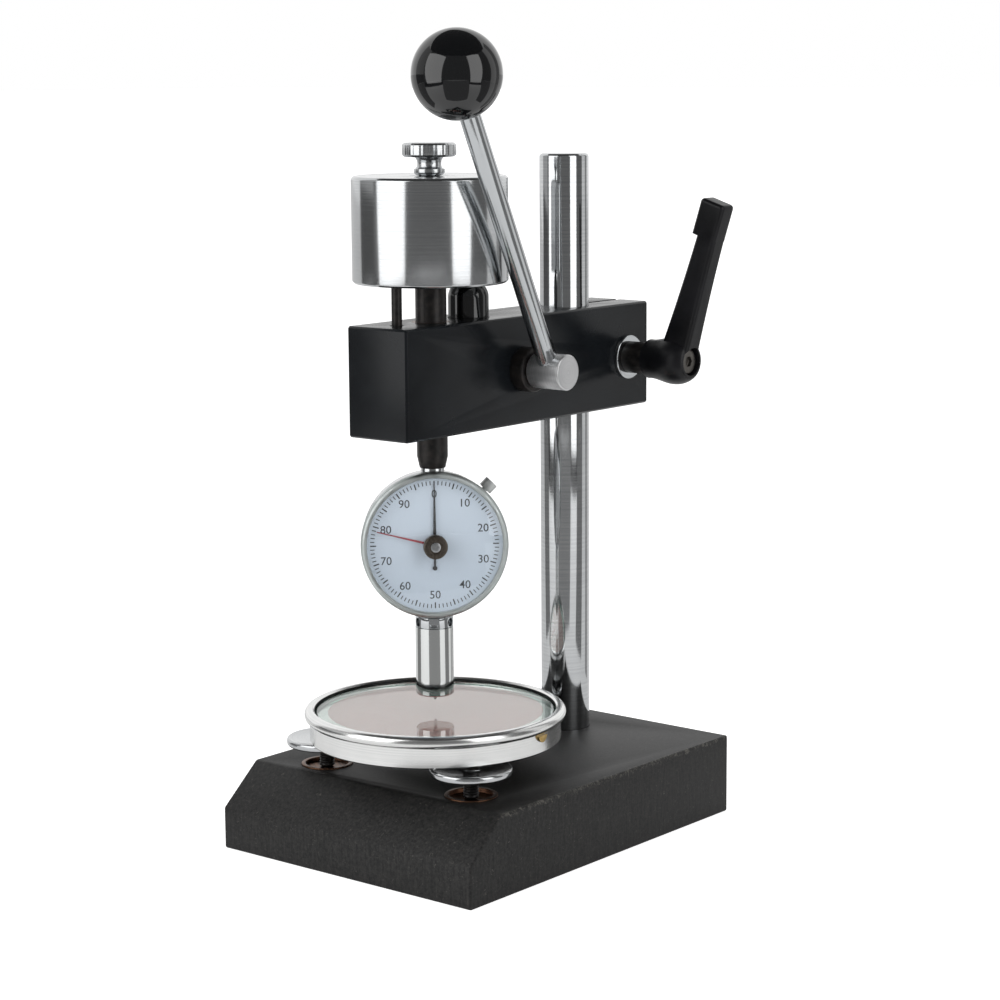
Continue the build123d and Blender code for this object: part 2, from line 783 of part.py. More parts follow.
with BuildPart() as guide_pin:
    guide_pin_bottom = arm_bottom + guide_pin_in_arm
    with BuildSketch(at_height(guide_pin_bottom, 0, pin_y)):
        Circle(guide_pin_diameter / 2)
    extrude(amount=weight_bottom + guide_pin_seat - guide_pin_bottom)
    chamfer(guide_pin.faces().sort_by(Axis.Z)[0].edges(), small_edge)
save(guide_pin, "guide_pin")

with BuildPart() as weight_nut:
    nut_neck_bottom = weight_top + nut_flange_height
    nut_neck_top = nut_neck_bottom + nut_neck_height
    disc_top = nut_neck_top + nut_disc_height
    neck_waist = nut_neck_diameter / 2
    with BuildSketch(Plane.YZ):
        with BuildLine():
            Polyline(
                (spindle_y, disc_top),
                (spindle_y, weight_top),
                (spindle_y + nut_flange_diameter / 2 - nut_flange_bevel, weight_top),
                (spindle_y + nut_flange_diameter / 2, weight_top + nut_flange_bevel),
                (spindle_y + nut_flange_diameter / 2, nut_neck_bottom),
                (spindle_y + neck_waist + nut_neck_flare, nut_neck_bottom),
            )
            ThreePointArc(
                (spindle_y + neck_waist + nut_neck_flare, nut_neck_bottom),
                (spindle_y + neck_waist, nut_neck_bottom + nut_neck_height * 2 / 5),
                (spindle_y + neck_waist + nut_head_flare, nut_neck_top),
            )
            Polyline(
                (spindle_y + neck_waist + nut_head_flare, nut_neck_top),
                (spindle_y + nut_disc_diameter / 2 - nut_rim_bevel, nut_neck_top),
                (spindle_y + nut_disc_diameter / 2, nut_neck_top + nut_rim_bevel),
                (spindle_y + nut_disc_diameter / 2, disc_top - nut_rim_bevel),
                (spindle_y + nut_disc_diameter / 2 - nut_rim_bevel, disc_top),
                (spindle_y, disc_top),
            )
        make_face()
    revolve(axis=Axis((0, spindle_y, 0), (0, 0, 1)))
    with Locations(at_height(nut_neck_top, 0, spindle_y)):
        with PolarLocations(nut_disc_diameter / 2 + nut_flute_offset, nut_flutes):
            Cylinder(
                nut_flute_radius,
                nut_disc_height,
                align=(Align.CENTER, Align.CENTER, Align.MIN),
                mode=Mode.SUBTRACT,
            )
    with BuildSketch(at_height(weight_top, 0, spindle_y)):
        Circle(spindle_top_thread / 2 + running_fit)
    extrude(amount=thread_top - weight_top + nut_bore_room, mode=Mode.SUBTRACT)
    # tommy-bar dimple in the rim
    dimple = radians(nut_dimple_angle)
    outward = Vector(cos(dimple), sin(dimple), 0)
    rim = Vector(0, spindle_y, (nut_neck_top + disc_top) / 2) + outward * (nut_disc_diameter / 2)
    with BuildSketch(Plane(origin=rim, z_dir=outward)):
        Circle(nut_dimple_diameter / 2)
    extrude(amount=-nut_dimple_depth, mode=Mode.SUBTRACT)
save(weight_nut, "weight_nut")

# ---------------------------------------------------------------- durometer
case_bottom = dial_z - case_diameter / 2
case_top = dial_z + case_diameter / 2
cover_front_depth = case_back_depth + cover_thickness
case_inside = case_diameter / 2 - case_wall
with BuildPart() as durometer_case:
    with BuildSketch(dial_plane(case_back_depth)):
        Circle(case_diameter / 2)
    extrude(amount=case_front_depth - case_back_depth)
    back_rim = durometer_case.edges().filter_by(GeomType.CIRCLE).sort_by_distance(
        dial_plane(case_back_depth).origin
    )[0]
    fillet(back_rim, case_round)
    with BuildSketch(dial_plane(case_front_depth)):
        Circle(case_spigot_diameter / 2)
    extrude(amount=bezel_back_depth + bezel_flange - bezel_end_gap - case_front_depth)
    with BuildSketch(dial_plane(case_back_depth)):
        Circle(case_inside)
    extrude(amount=case_front_depth - case_face - case_back_depth, mode=Mode.SUBTRACT)
    with BuildSketch(dial_plane(case_back_depth)):
        Circle(case_opening / 2)
    extrude(amount=bezel_front_depth - case_back_depth, mode=Mode.SUBTRACT)
    # stud boss above and threaded neck below
    with BuildSketch(at_height(case_top - boss_depth, 0, spindle_y)):
        Circle(neck_diameter / 2)
    extrude(amount=spindle_bottom - case_top + boss_depth)
    with BuildSketch(at_height(neck_bottom, 0, spindle_y)):
        Circle(neck_diameter / 2)
    extrude(amount=case_bottom + boss_depth - neck_bottom)
    # posts for the screws of the back cover, which also carry the movement plate
    for angle in cover_screw_angles:
        with BuildSketch(dial_plane(cover_front_depth)):
            with PolarLocations(cover_screw_radius, 1, start_angle=angle):
                Circle(cover_post_diameter / 2)
        extrude(amount=movement_plate_depth - cover_front_depth)
        with BuildSketch(dial_plane(cover_front_depth)):
            with PolarLocations(cover_screw_radius, 1, start_angle=angle):
                Circle(cover_screw_diameter / 2)
        extrude(amount=movement_plate_depth - cover_front_depth, mode=Mode.SUBTRACT)
    # bores: stud above, indenter rod below, bezel clamp screw at the side
    with BuildSketch(at_height(spindle_bottom - stud_in_case, 0, spindle_y)):
        Circle(stud_diameter / 2)
    extrude(amount=stud_in_case, mode=Mode.SUBTRACT)
    with BuildSketch(at_height(neck_bottom, 0, spindle_y)):
        Circle(indenter_rod_diameter / 2 + running_fit)
    extrude(amount=case_bottom + boss_depth + bore_run_out - neck_bottom, mode=Mode.SUBTRACT)
    with BuildSketch(bezel_knob_plane(case_inside - bore_run_out)):
        Circle(bezel_screw_diameter / 2 + running_fit)
    extrude(amount=case_wall + 2 * bore_run_out, mode=Mode.SUBTRACT)
save(durometer_case, "durometer_case")

with BuildPart() as case_cover:
    with BuildSketch(dial_plane(case_back_depth)):
        Circle(case_inside)
        with PolarLocations(cover_screw_radius, len(cover_screw_angles), cover_screw_angles[0]):
            Circle(cover_screw_diameter / 2 + screw_play, mode=Mode.SUBTRACT)
    extrude(amount=cover_thickness)
save(case_cover, "case_cover")

with BuildPart() as cover_screws:
    for angle in cover_screw_angles:
        with BuildSketch(dial_plane(case_back_depth)):
            with PolarLocations(cover_screw_radius, 1, start_angle=angle):
                Circle(cover_screw_diameter / 2)
        extrude(amount=cover_thickness + cover_screw_grip)
        with BuildSketch(dial_plane(case_back_depth)):
            with PolarLocations(cover_screw_radius, 1, start_angle=angle):
                Circle(cover_screw_head / 2)
        extrude(amount=-cover_screw_head_height)
save(cover_screws, "cover_screws")

with BuildPart() as mounting_stud:
    with BuildSketch(at_height(spindle_bottom - stud_in_case, 0, spindle_y)):
        Circle(stud_diameter / 2)
    extrude(amount=stud_in_case + stud_in_spindle)
save(mounting_stud, "mounting_stud")

with BuildPart() as movement_plate:
    with BuildSketch(dial_plane(movement_plate_depth)):
        Circle(movement_plate_diameter / 2)
        Rectangle(movement_plate_diameter, movement_plate_height, mode=Mode.INTERSECT)
        Circle(arbor_diameter / 2 + running_fit, mode=Mode.SUBTRACT)
        with PolarLocations(cover_screw_radius, len(cover_screw_angles), cover_screw_angles[0]):
            Circle(cover_screw_diameter / 2 + screw_play, mode=Mode.SUBTRACT)
    extrude(amount=movement_plate_thickness)
save(movement_plate, "movement_plate")

with BuildPart() as movement_screws:
    plate_front = movement_plate_depth + movement_plate_thickness
    for angle in cover_screw_angles:
        with BuildSketch(dial_plane(plate_front)):
            with PolarLocations(cover_screw_radius, 1, start_angle=angle):
                Circle(movement_screw_head / 2)
        extrude(amount=cover_screw_head_height)
        with BuildSketch(dial_plane(plate_front)):
            with PolarLocations(cover_screw_radius, 1, start_angle=angle):
                Circle(cover_screw_diameter / 2)
        extrude(amount=-movement_plate_thickness - movement_screw_grip)
save(movement_screws, "movement_screws")

with BuildPart() as lock_collar:
    with BuildSketch(at_height(collar_bottom, 0, spindle_y)):
        Circle(collar_diameter / 2)
        Circle(neck_diameter / 2, mode=Mode.SUBTRACT)
    extrude(amount=collar_top - collar_bottom)
    chamfer(lock_collar.edges().filter_by(GeomType.CIRCLE).sort_by(SortBy.RADIUS)[-2:], fine_edge)
    collar_middle = at_height((collar_bottom + collar_top) / 2, 0, spindle_y)
    with Locations(collar_middle):
        with PolarLocations(collar_diameter / 2, collar_holes, start_angle=collar_hole_angle):
            Cylinder(
                collar_hole_diameter / 2,
                2 * collar_hole_depth,
                rotation=(0, 90, 0),
                mode=Mode.SUBTRACT,
            )
save(lock_collar, "lock_collar")

with BuildPart() as foot_sleeve:
    with BuildSketch(at_height(foot_bottom, 0, spindle_y)):
        Circle(foot_diameter / 2)
    extrude(amount=collar_bottom - foot_bottom)
    chamfer(foot_sleeve.faces().sort_by(Axis.Z)[0].edges(), small_edge)
    with BuildSketch(at_height(foot_bottom, 0, spindle_y)):
        Circle(indenter_hole / 2)
    extrude(amount=foot_floor, mode=Mode.SUBTRACT)
    with BuildSketch(at_height(foot_bottom + foot_floor, 0, spindle_y)):
        Circle(foot_bore / 2)
    extrude(amount=neck_bottom - foot_bottom - foot_floor, mode=Mode.SUBTRACT)
    with BuildSketch(at_height(neck_bottom, 0, spindle_y)):
        Circle(neck_diameter / 2)
    extrude(amount=collar_bottom - neck_bottom, mode=Mode.SUBTRACT)
save(foot_sleeve, "foot_sleeve")

rod_seat = foot_bottom + foot_floor
spring_seat = rod_seat + indenter_collar_height
tip_bottom = foot_bottom - indenter_protrusion
tip_cone = (indenter_diameter - indenter_tip_diameter) / 2 / tan(radians(indenter_cone_angle / 2))
with BuildPart() as indenter:
    with BuildSketch(Plane.YZ):
        with BuildLine():
            Polyline(
                (spindle_y, tip_bottom),
                (spindle_y + indenter_tip_diameter / 2, tip_bottom),
                (spindle_y + indenter_diameter / 2, tip_bottom + tip_cone),
                (spindle_y + indenter_diameter / 2, rod_seat),
                (spindle_y + indenter_collar_diameter / 2, rod_seat),
                (spindle_y + indenter_collar_diameter / 2, spring_seat),
                (spindle_y + indenter_rod_diameter / 2, spring_seat),
                (spindle_y + indenter_rod_diameter / 2, indenter_rod_top),
                (spindle_y, indenter_rod_top),
                close=True,
            )
        make_face()
    revolve(axis=Axis((0, spindle_y, 0), (0, 0, 1)))
save(indenter, "indenter")

coil(
    "indenter_spring",
    spring_seat,
    neck_bottom,
    spindle_axis,
    indenter_spring_diameter,
    indenter_spring_wire,
    indenter_spring_turns,
)

# ---------------------------------------------------------------- bezel
crystal_front_depth = crystal_back_depth + crystal_thickness
with BuildPart() as bezel:
    with BuildSketch(dial_plane(bezel_back_depth)):
        Circle(bezel_diameter / 2)
    extrude(amount=bezel_front_depth - bezel_back_depth)
    front_rim = bezel.edges().filter_by(GeomType.CIRCLE).sort_by_distance(
        dial_plane(bezel_front_depth).origin
    )[0]
    fillet(front_rim, bezel_round)
    for depth, radius in (
        (bezel_back_depth, case_spigot_diameter / 2 + running_fit),
        (dial_plate_depth, dial_plate_diameter / 2),
        (crystal_back_depth, crystal_diameter / 2),
    ):
        with BuildSketch(dial_plane(depth)):
            Circle(radius)
        extrude(amount=crystal_front_depth - depth, mode=Mode.SUBTRACT)
    with BuildSketch(dial_plane(dial_plate_depth)):
        Circle(bezel_opening / 2)
    extrude(amount=bezel_front_depth - dial_plate_depth, mode=Mode.SUBTRACT)
save(bezel, "bezel")

with BuildPart() as crystal:
    with BuildSketch(dial_plane(crystal_back_depth)):
        Circle(crystal_diameter / 2)
        Circle(drag_shaft_diameter / 2 + running_fit, mode=Mode.SUBTRACT)
    extrude(amount=crystal_thickness)
save(crystal, "crystal")

with BuildPart() as dial_plate:
    with BuildSketch(dial_plane(dial_plate_depth)):
        Circle(dial_plate_diameter / 2)
        Circle(arbor_diameter / 2 + free_gap, mode=Mode.SUBTRACT)
    extrude(amount=dial_plate_thickness)
save(dial_plate, "dial_plate")

with BuildPart() as hand:
    with BuildSketch(dial_plane(hand_depth)):
        with BuildLine():
            Polyline(
                (-hand_root_width / 2, 0),
                (-hand_tip_width / 2, hand_length),
                (hand_tip_width / 2, hand_length),
                (hand_root_width / 2, 0),
                (hand_tail_width / 2, -hand_tail),
                (-hand_tail_width / 2, -hand_tail),
                close=True,
            )
        make_face()
        Circle(hand_boss_diameter / 2)
        with Locations((0, -hand_tail)):
            Circle(hand_bulb_diameter / 2)
    extrude(amount=hand_thickness)
    with BuildSketch(dial_plane(arbor_back_depth)):
        Circle(arbor_diameter / 2)
    extrude(amount=hand_depth - arbor_back_depth)
save(hand, "hand")

drag_angle = -360.0 * drag_hand_reading / 100.0
with BuildPart() as drag_hand:
    with BuildSketch(dial_plane(drag_hand_depth)):
        with BuildLine(Rot(0, 0, drag_angle)):
            Polyline(
                (-drag_hand_root_width / 2, 0),
                (-drag_hand_tip_width / 2, drag_hand_length),
                (drag_hand_tip_width / 2, drag_hand_length),
                (drag_hand_root_width / 2, 0),
                close=True,
            )
        make_face()
        Circle(drag_shaft_diameter / 2 + drag_hand_boss_wall)
    extrude(amount=hand_thickness)
save(drag_hand, "drag_hand")

knob_back = crystal_front_depth + free_gap
with BuildPart() as drag_knob:
    with BuildSketch(dial_plane(knob_back)):
        Circle(drag_knob_diameter / 2)
    extrude(amount=drag_knob_height)
    knob_rim = drag_knob.edges().filter_by(GeomType.CIRCLE).sort_by_distance(
        dial_plane(knob_back + drag_knob_height).origin
    )[0]
    chamfer(knob_rim, drag_knob_edge)
    with BuildSketch(dial_plane(drag_hand_depth + hand_thickness)):
        Circle(drag_shaft_diameter / 2)
    extrude(amount=knob_back - drag_hand_depth - hand_thickness)
save(drag_knob, "drag_knob")

with BuildPart() as bezel_clamp:
    with BuildSketch(bezel_knob_plane(case_inside)):
        Circle(bezel_screw_diameter / 2)
    extrude(amount=case_wall + bezel_knob_gap)
    with BuildSketch(bezel_knob_plane(case_diameter / 2 + bezel_knob_gap)):
        Circle(bezel_knob_diameter / 2)
    extrude(amount=bezel_knob_length)
save(bezel_clamp, "bezel_clamp")

# ---------------------------------------------------------------- platform
ring_radius = ring_diameter / 2
lip_radius = ring_lip_diameter / 2
with BuildPart() as platform_ring:
    with BuildSketch(Plane.YZ):
        with BuildLine():
            Polyline(
                (spindle_y + ring_web_bore / 2, ring_bottom),
                (spindle_y + ring_radius - small_edge, ring_bottom),
                (spindle_y + ring_radius, ring_bottom + small_edge),
                (spindle_y + ring_radius, ring_top - ring_lip_height - ring_lip_slope),
                (spindle_y + lip_radius, ring_top - ring_lip_height + ring_lip_foot),
                (spindle_y + lip_radius, ring_top - ring_lip_edge),
                (spindle_y + lip_radius - ring_lip_edge, ring_top),
                (spindle_y + glass_diameter / 2 + ring_edge, ring_top),
                (spindle_y + glass_diameter / 2, ring_top - ring_edge),
                (spindle_y + glass_diameter / 2, glass_top - glass_thickness),
                (spindle_y + ring_web_bore / 2, glass_top - glass_thickness),
                close=True,
            )
        make_face()
    revolve(axis=Axis((0, spindle_y, 0), (0, 0, 1)))
    with Locations(at_height(glass_top - glass_thickness, 0, spindle_y)):
        for angle in levelling_angles.values():
            with PolarLocations(levelling_radius, 1, start_angle=angle):
                Hole(levelling_stem_diameter / 2 + running_fit)
    for angle in ring_screw_angles:
        outward = Vector(cos(radians(angle)), sin(radians(angle)), 0)
        seat = Vector(0, spindle_y, ring_screw_z) + outward * (glass_diameter / 2)
        with BuildSketch(Plane(origin=seat, z_dir=outward)):
            Circle(ring_screw_diameter / 2)
        extrude(amount=ring_radius, mode=Mode.SUBTRACT)
save(platform_ring, "platform_ring")

with BuildPart() as glass_plate:
    with BuildSketch(at_height(glass_top - glass_thickness, 0, spindle_y)):
        Circle(glass_diameter / 2)
    extrude(amount=glass_thickness)
    chamfer(glass_plate.faces().sort_by(Axis.Z)[-1].edges(), small_edge)
save(glass_plate, "glass_plate")

screw_length = ring_radius - glass_diameter / 2 + ring_screw_stand_out
with BuildPart() as glass_screws:
    for angle in ring_screw_angles:
        outward = Vector(cos(radians(angle)), sin(radians(angle)), 0)
        seat = Vector(0, spindle_y, ring_screw_z) + outward * (glass_diameter / 2)
        with BuildSketch(Plane(origin=seat, z_dir=outward)):
            Circle(ring_screw_diameter / 2)
        extrude(amount=screw_length)
        slot_seat = seat + outward * screw_length
        with BuildSketch(Plane(origin=slot_seat, z_dir=outward)):
            Rectangle(ring_screw_diameter, ring_screw_slot)
        extrude(amount=-ring_screw_slot, mode=Mode.SUBTRACT)
save(glass_screws, "glass_screws")

stem_bottom = base_height - cup_depth + cup_floor
for corner, angle in levelling_angles.items():
    screw_x = levelling_radius * cos(radians(angle))
    screw_y = spindle_y + levelling_radius * sin(radians(angle))
    with BuildPart() as stem:
        with BuildSketch(at_height(stem_bottom, screw_x, screw_y)):
            Circle(levelling_stem_diameter / 2)
        extrude(amount=levelling_stem_top - stem_bottom)
        chamfer(stem.edges().filter_by(GeomType.CIRCLE), small_edge)
    save(stem, f"levelling_screw_{corner}")
    with BuildPart() as wheel:
        with BuildSketch(at_height(levelling_wheel_bottom, screw_x, screw_y)):
            Circle(levelling_wheel_diameter / 2)
            Circle(levelling_stem_diameter / 2, mode=Mode.SUBTRACT)
        extrude(amount=levelling_wheel_thickness)
        fillet(wheel.edges().filter_by(GeomType.CIRCLE).sort_by(SortBy.RADIUS)[-2:], levelling_wheel_edge)
    save(wheel, f"levelling_wheel_{corner}")
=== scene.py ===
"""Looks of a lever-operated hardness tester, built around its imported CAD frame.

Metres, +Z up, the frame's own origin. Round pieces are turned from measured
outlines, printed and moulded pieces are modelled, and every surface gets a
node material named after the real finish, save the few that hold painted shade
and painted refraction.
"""
import json
from math import asin, atan2, cos, degrees, pi, radians, sin, sqrt

import bpy
from mathutils import Matrix, Vector


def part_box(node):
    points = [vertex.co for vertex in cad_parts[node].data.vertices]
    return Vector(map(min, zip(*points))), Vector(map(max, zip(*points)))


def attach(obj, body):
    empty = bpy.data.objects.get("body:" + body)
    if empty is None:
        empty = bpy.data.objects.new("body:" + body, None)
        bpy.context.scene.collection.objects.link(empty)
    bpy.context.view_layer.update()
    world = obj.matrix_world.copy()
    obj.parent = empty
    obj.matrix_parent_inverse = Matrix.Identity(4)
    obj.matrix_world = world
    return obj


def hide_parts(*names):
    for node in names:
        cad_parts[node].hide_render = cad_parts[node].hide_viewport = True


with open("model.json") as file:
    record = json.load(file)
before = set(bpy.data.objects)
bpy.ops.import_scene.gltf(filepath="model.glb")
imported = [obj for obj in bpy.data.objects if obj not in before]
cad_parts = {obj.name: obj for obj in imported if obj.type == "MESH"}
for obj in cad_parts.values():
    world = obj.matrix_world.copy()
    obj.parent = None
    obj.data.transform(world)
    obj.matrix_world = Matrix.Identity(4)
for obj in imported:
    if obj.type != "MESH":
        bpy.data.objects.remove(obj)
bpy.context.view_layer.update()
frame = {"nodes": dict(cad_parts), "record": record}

MM = 0.001
CAMERA_HEADING = radians(39.42)
RIM_RUB = 2.6               # width of the worn band along the base's upper rims, mm
SHARP = radians(28)         # edges sharper than this are rounded
SMOOTH = radians(32)        # faces that meet at less than this are shaded as one surface
FLAT = radians(1)           # CAD triangles within this of one plane are joined
WELD = 0.002 * MM           # points closer than this are one
CAD_WELD = 0.005 * MM       # the same for the loose triangles of a CAD node
WHITE = (1, 1, 1, 1)
record = frame["record"]
body_of_node = {
    node: body for body, nodes in record["behaviour"]["bodies"].items() for node in nodes
}

# ------------------------------------------------------------------ materials


def colour(code):
    """sRGB hex code as linear red, green, blue and alpha."""
    channels = [int(code[i:i + 2], 16) / 255 for i in (1, 3, 5)]
    linear = [c / 12.92 if c <= 0.04045 else ((c + 0.055) / 1.055) ** 2.4 for c in channels]
    return (*linear, 1.0)


def add_node(tree, kind, settings=None, values=None, links=None, stops=None):
    """Adds a node, with its settings, socket values, incoming links and ramp stops."""
    node = tree.nodes.new(kind)
    for name, value in (settings or {}).items():
        setattr(node, name, value)
    for socket, value in (values or {}).items():
        node.inputs[socket].default_value = value
    for socket, source in (links or {}).items():
        tree.links.new(source, node.inputs[socket])
    for i, (position, shade) in enumerate(stops or ()):
        element = node.color_ramp.elements
        stop = element[i] if i < 2 else element.new(position)
        stop.position = position
        stop.color = colour(shade)
    return node


def start_finish(name, shader_values):
    """Starts a material; returns it with its tree, shader and the piece's own coordinates."""
    finish = bpy.data.materials.new(name)
    finish.use_nodes = True
    tree = finish.node_tree
    shader = tree.nodes["Principled BSDF"]
    for socket, value in shader_values.items():
        shader.inputs[socket].default_value = value
    place = add_node(tree, "ShaderNodeTexCoord").outputs["Object"]
    return finish, tree, shader, place


def stove_enamel():
    """Cast iron under a thin stove enamel: fine grit, a low sheen, pale scuffs at the edges."""
    finish, tree, shader, place = start_finish(
        "charcoal_stove_enamel", {"Specular IOR Level": 0.32}
    )
    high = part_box("base_plate")[1]
    # cast grit of a few tenths of a millimetre is too fine to show, so it is drawn 1.3 mm
    grit = add_node(tree, "ShaderNodeTexNoise",
                    values={"Scale": 1 / (1.3 * MM), "Detail": 5.0, "Roughness": 0.75},
                    links={"Vector": place})
    # upright streaks left by wiping
    drawn = add_node(tree, "ShaderNodeMapping", values={"Scale": (1, 1, 0.12)},
                     links={"Vector": place})
    streaks = add_node(tree, "ShaderNodeTexNoise",
                       values={"Scale": 1 / (1.1 * MM), "Detail": 3.0, "Roughness": 0.6},
                       links={"Vector": drawn.outputs[0]})
    tone = add_node(tree, "ShaderNodeMath", {"operation": "MULTIPLY_ADD"},
                    {1: 0.5}, {0: streaks.outputs["Fac"], 2: grit.outputs["Fac"]})
    ground = add_node(tree, "ShaderNodeValToRGB", links={"Fac": tone.outputs[0]},
                      stops=((0.6, "#090a0b"), (0.92, "#292827")))
    # scuffs: a thin scatter everywhere, and more where hands and benches rub the rims
    rims = []
    split = add_node(tree, "ShaderNodeSeparateXYZ", links={0: place})
    across = add_node(tree, "ShaderNodeMath", {"operation": "ABSOLUTE"},
                      links={0: split.outputs["X"]})
    for source, start_at, end_at in (
        (across.outputs[0], high[0] - RIM_RUB * MM, high[0]),
        (split.outputs["Z"], high[2] - RIM_RUB * MM, high[2]),
    ):
        near = add_node(tree, "ShaderNodeMapRange",
                        values={"From Min": start_at, "From Max": end_at}, links={"Value": source})
        rims.append(near.outputs[0])
    rim = add_node(tree, "ShaderNodeMath", {"operation": "MULTIPLY"},
                   links={0: rims[0], 1: rims[1]})
    scuff = add_node(tree, "ShaderNodeTexNoise",
                     values={"Scale": 1 / (1.6 * MM), "Detail": 5.0, "Roughness": 0.72,
                             "Distortion": 1.5},
                     links={"Vector": place})
    raised = add_node(tree, "ShaderNodeMath", {"operation": "MULTIPLY_ADD"}, {1: 0.16},
                      {0: rim.outputs[0], 2: scuff.outputs["Fac"]})
    scuffed = add_node(tree, "ShaderNodeValToRGB", links={"Fac": raised.outputs[0]},
                       stops=((0.6, "#000000"), (0.74, "#b4b4b4")))
    mixed = add_node(tree, "ShaderNodeMix", {"data_type": "RGBA"}, {7: colour("#77746d")},
                     {0: scuffed.outputs["Color"], 6: ground.outputs["Color"]})
    tree.links.new(mixed.outputs[2], shader.inputs["Base Color"])
    sheen = add_node(tree, "ShaderNodeMapRange", values={"To Min": 0.42, "To Max": 0.6},
                     links={"Value": grit.outputs["Fac"]})
    tree.links.new(sheen.outputs[0], shader.inputs["Roughness"])
    relief = add_node(tree, "ShaderNodeBump", values={"Strength": 0.35, "Distance": 0.12 * MM},
                      links={"Height": grit.outputs["Fac"]})
    tree.links.new(relief.outputs[0], shader.inputs["Normal"])
    return finish


def gloss_enamel(name, low, high, roughness):
    """Sprayed enamel over machined metal: smooth, with a faint orange peel."""
    finish, tree, shader, place = start_finish(name, {"Specular IOR Level": 0.25})
    drift = add_node(tree, "ShaderNodeTexNoise", values={"Scale": 1 / (22 * MM), "Detail": 3.0},
                     links={"Vector": place})
    shade = add_node(tree, "ShaderNodeValToRGB", links={"Fac": drift.outputs["Fac"]},
                     stops=((0.35, low), (0.65, high)))
    tree.links.new(shade.outputs["Color"], shader.inputs["Base Color"])
    peel = add_node(tree, "ShaderNodeTexNoise", values={"Scale": 1 / (1.3 * MM), "Detail": 2.0},
                    links={"Vector": place})
    wipe = add_node(tree, "ShaderNodeMapRange",
                    values={"To Min": roughness - 0.06, "To Max": roughness + 0.08},
                    links={"Value": drift.outputs["Fac"]})
    tree.links.new(wipe.outputs[0], shader.inputs["Roughness"])
    relief = add_node(tree, "ShaderNodeBump", values={"Strength": 0.1, "Distance": 0.1 * MM},
                      links={"Height": peel.outputs["Fac"]})
    tree.links.new(relief.outputs[0], shader.inputs["Normal"])
    return finish


def turned_metal(name, dark, light, roughness, axis_turn=(0, 0, 0), centre=(0, 0, 0),
                 line=0.35, depth=0.5):
    """Metal turned or ground on its own axis: fine rings round the side and on the faces.

    The rings follow the distance from the axis and the height along it, so one
    pattern serves the side and the ends. Real lines of about 0.05 mm are too
    fine to show, so they are drawn line mm apart.
    """
    finish, tree, shader, place = start_finish(name, {"Metallic": 1.0})
    centred = add_node(tree, "ShaderNodeVectorMath", {"operation": "SUBTRACT"},
                       {1: centre}, {0: place})
    turned = add_node(tree, "ShaderNodeMapping", values={"Rotation": axis_turn},
                      links={"Vector": centred.outputs[0]})
    split = add_node(tree, "ShaderNodeSeparateXYZ", links={0: turned.outputs[0]})
    flat = add_node(tree, "ShaderNodeCombineXYZ",
                    links={"X": split.outputs["X"], "Y": split.outputs["Y"]})
    radius = add_node(tree, "ShaderNodeVectorMath", {"operation": "LENGTH"},
                      links={0: flat.outputs[0]})
    rings = add_node(tree, "ShaderNodeCombineXYZ",
                     links={"X": radius.outputs["Value"], "Y": split.outputs["Z"]})
    lines = add_node(tree, "ShaderNodeTexNoise",
                     values={"Scale": 1 / (line * MM), "Detail": 2.0, "Roughness": 0.6},
                     links={"Vector": rings.outputs[0]})
    cloud = add_node(tree, "ShaderNodeTexNoise", values={"Scale": 1 / (9 * MM), "Detail": 3.0},
                     links={"Vector": place})
    blend = add_node(tree, "ShaderNodeMath", {"operation": "MULTIPLY_ADD"}, {1: 0.3},
                     {0: cloud.outputs["Fac"], 2: lines.outputs["Fac"]})
    shade = add_node(tree, "ShaderNodeValToRGB", links={"Fac": blend.outputs[0]},
                     stops=((0.5, dark), (0.8, light)))
    tree.links.new(shade.outputs["Color"], shader.inputs["Base Color"])
    polish = add_node(tree, "ShaderNodeMapRange",
                      values={"To Min": roughness * 0.75, "To Max": roughness * 1.3},
                      links={"Value": lines.outputs["Fac"]})
    tree.links.new(polish.outputs[0], shader.inputs["Roughness"])
    relief = add_node(tree, "ShaderNodeBump",
                      values={"Strength": depth * 0.3, "Distance": 0.02 * MM},
                      links={"Height": lines.outputs["Fac"]})
    tree.links.new(relief.outputs[0], shader.inputs["Normal"])
    return finish


def bright_plate(name, tint, roughness):
    """Nickel or chromium plate on polished metal: a mirror with faint handling haze."""
    finish, tree, shader, place = start_finish(name, {"Metallic": 1.0, "Base Color": colour(tint)})
    haze = add_node(tree, "ShaderNodeTexNoise", values={"Scale": 1 / (6 * MM), "Detail": 5.0},
                    links={"Vector": place})
    polish = add_node(tree, "ShaderNodeMapRange",
                      values={"From Min": 0.35, "From Max": 0.7, "To Min": roughness,
                              "To Max": roughness * 2.2},
                      links={"Value": haze.outputs["Fac"]})
    tree.links.new(polish.outputs[0], shader.inputs["Roughness"])
    return finish


def black_oxide():
    """Steel blackened in hot salts and oiled: dark, a little uneven, with a soft metal sheen."""
    finish, tree, shader, place = start_finish(
        "black_oxide_steel", {"Metallic": 0.55, "Specular IOR Level": 0.5}
    )
    patch = add_node(tree, "ShaderNodeTexNoise", values={"Scale": 1 / (3 * MM), "Detail": 5.0},
                     links={"Vector": place})
    shade = add_node(tree, "ShaderNodeValToRGB", links={"Fac": patch.outputs["Fac"]},
                     stops=((0.35, "#1d1c1c"), (0.7, "#34302e")))
    tree.links.new(shade.outputs["Color"], shader.inputs["Base Color"])
    oil = add_node(tree, "ShaderNodeMapRange", values={"To Min": 0.28, "To Max": 0.5},
                   links={"Value": patch.outputs["Fac"]})
    tree.links.new(oil.outputs[0], shader.inputs["Roughness"])
    return finish


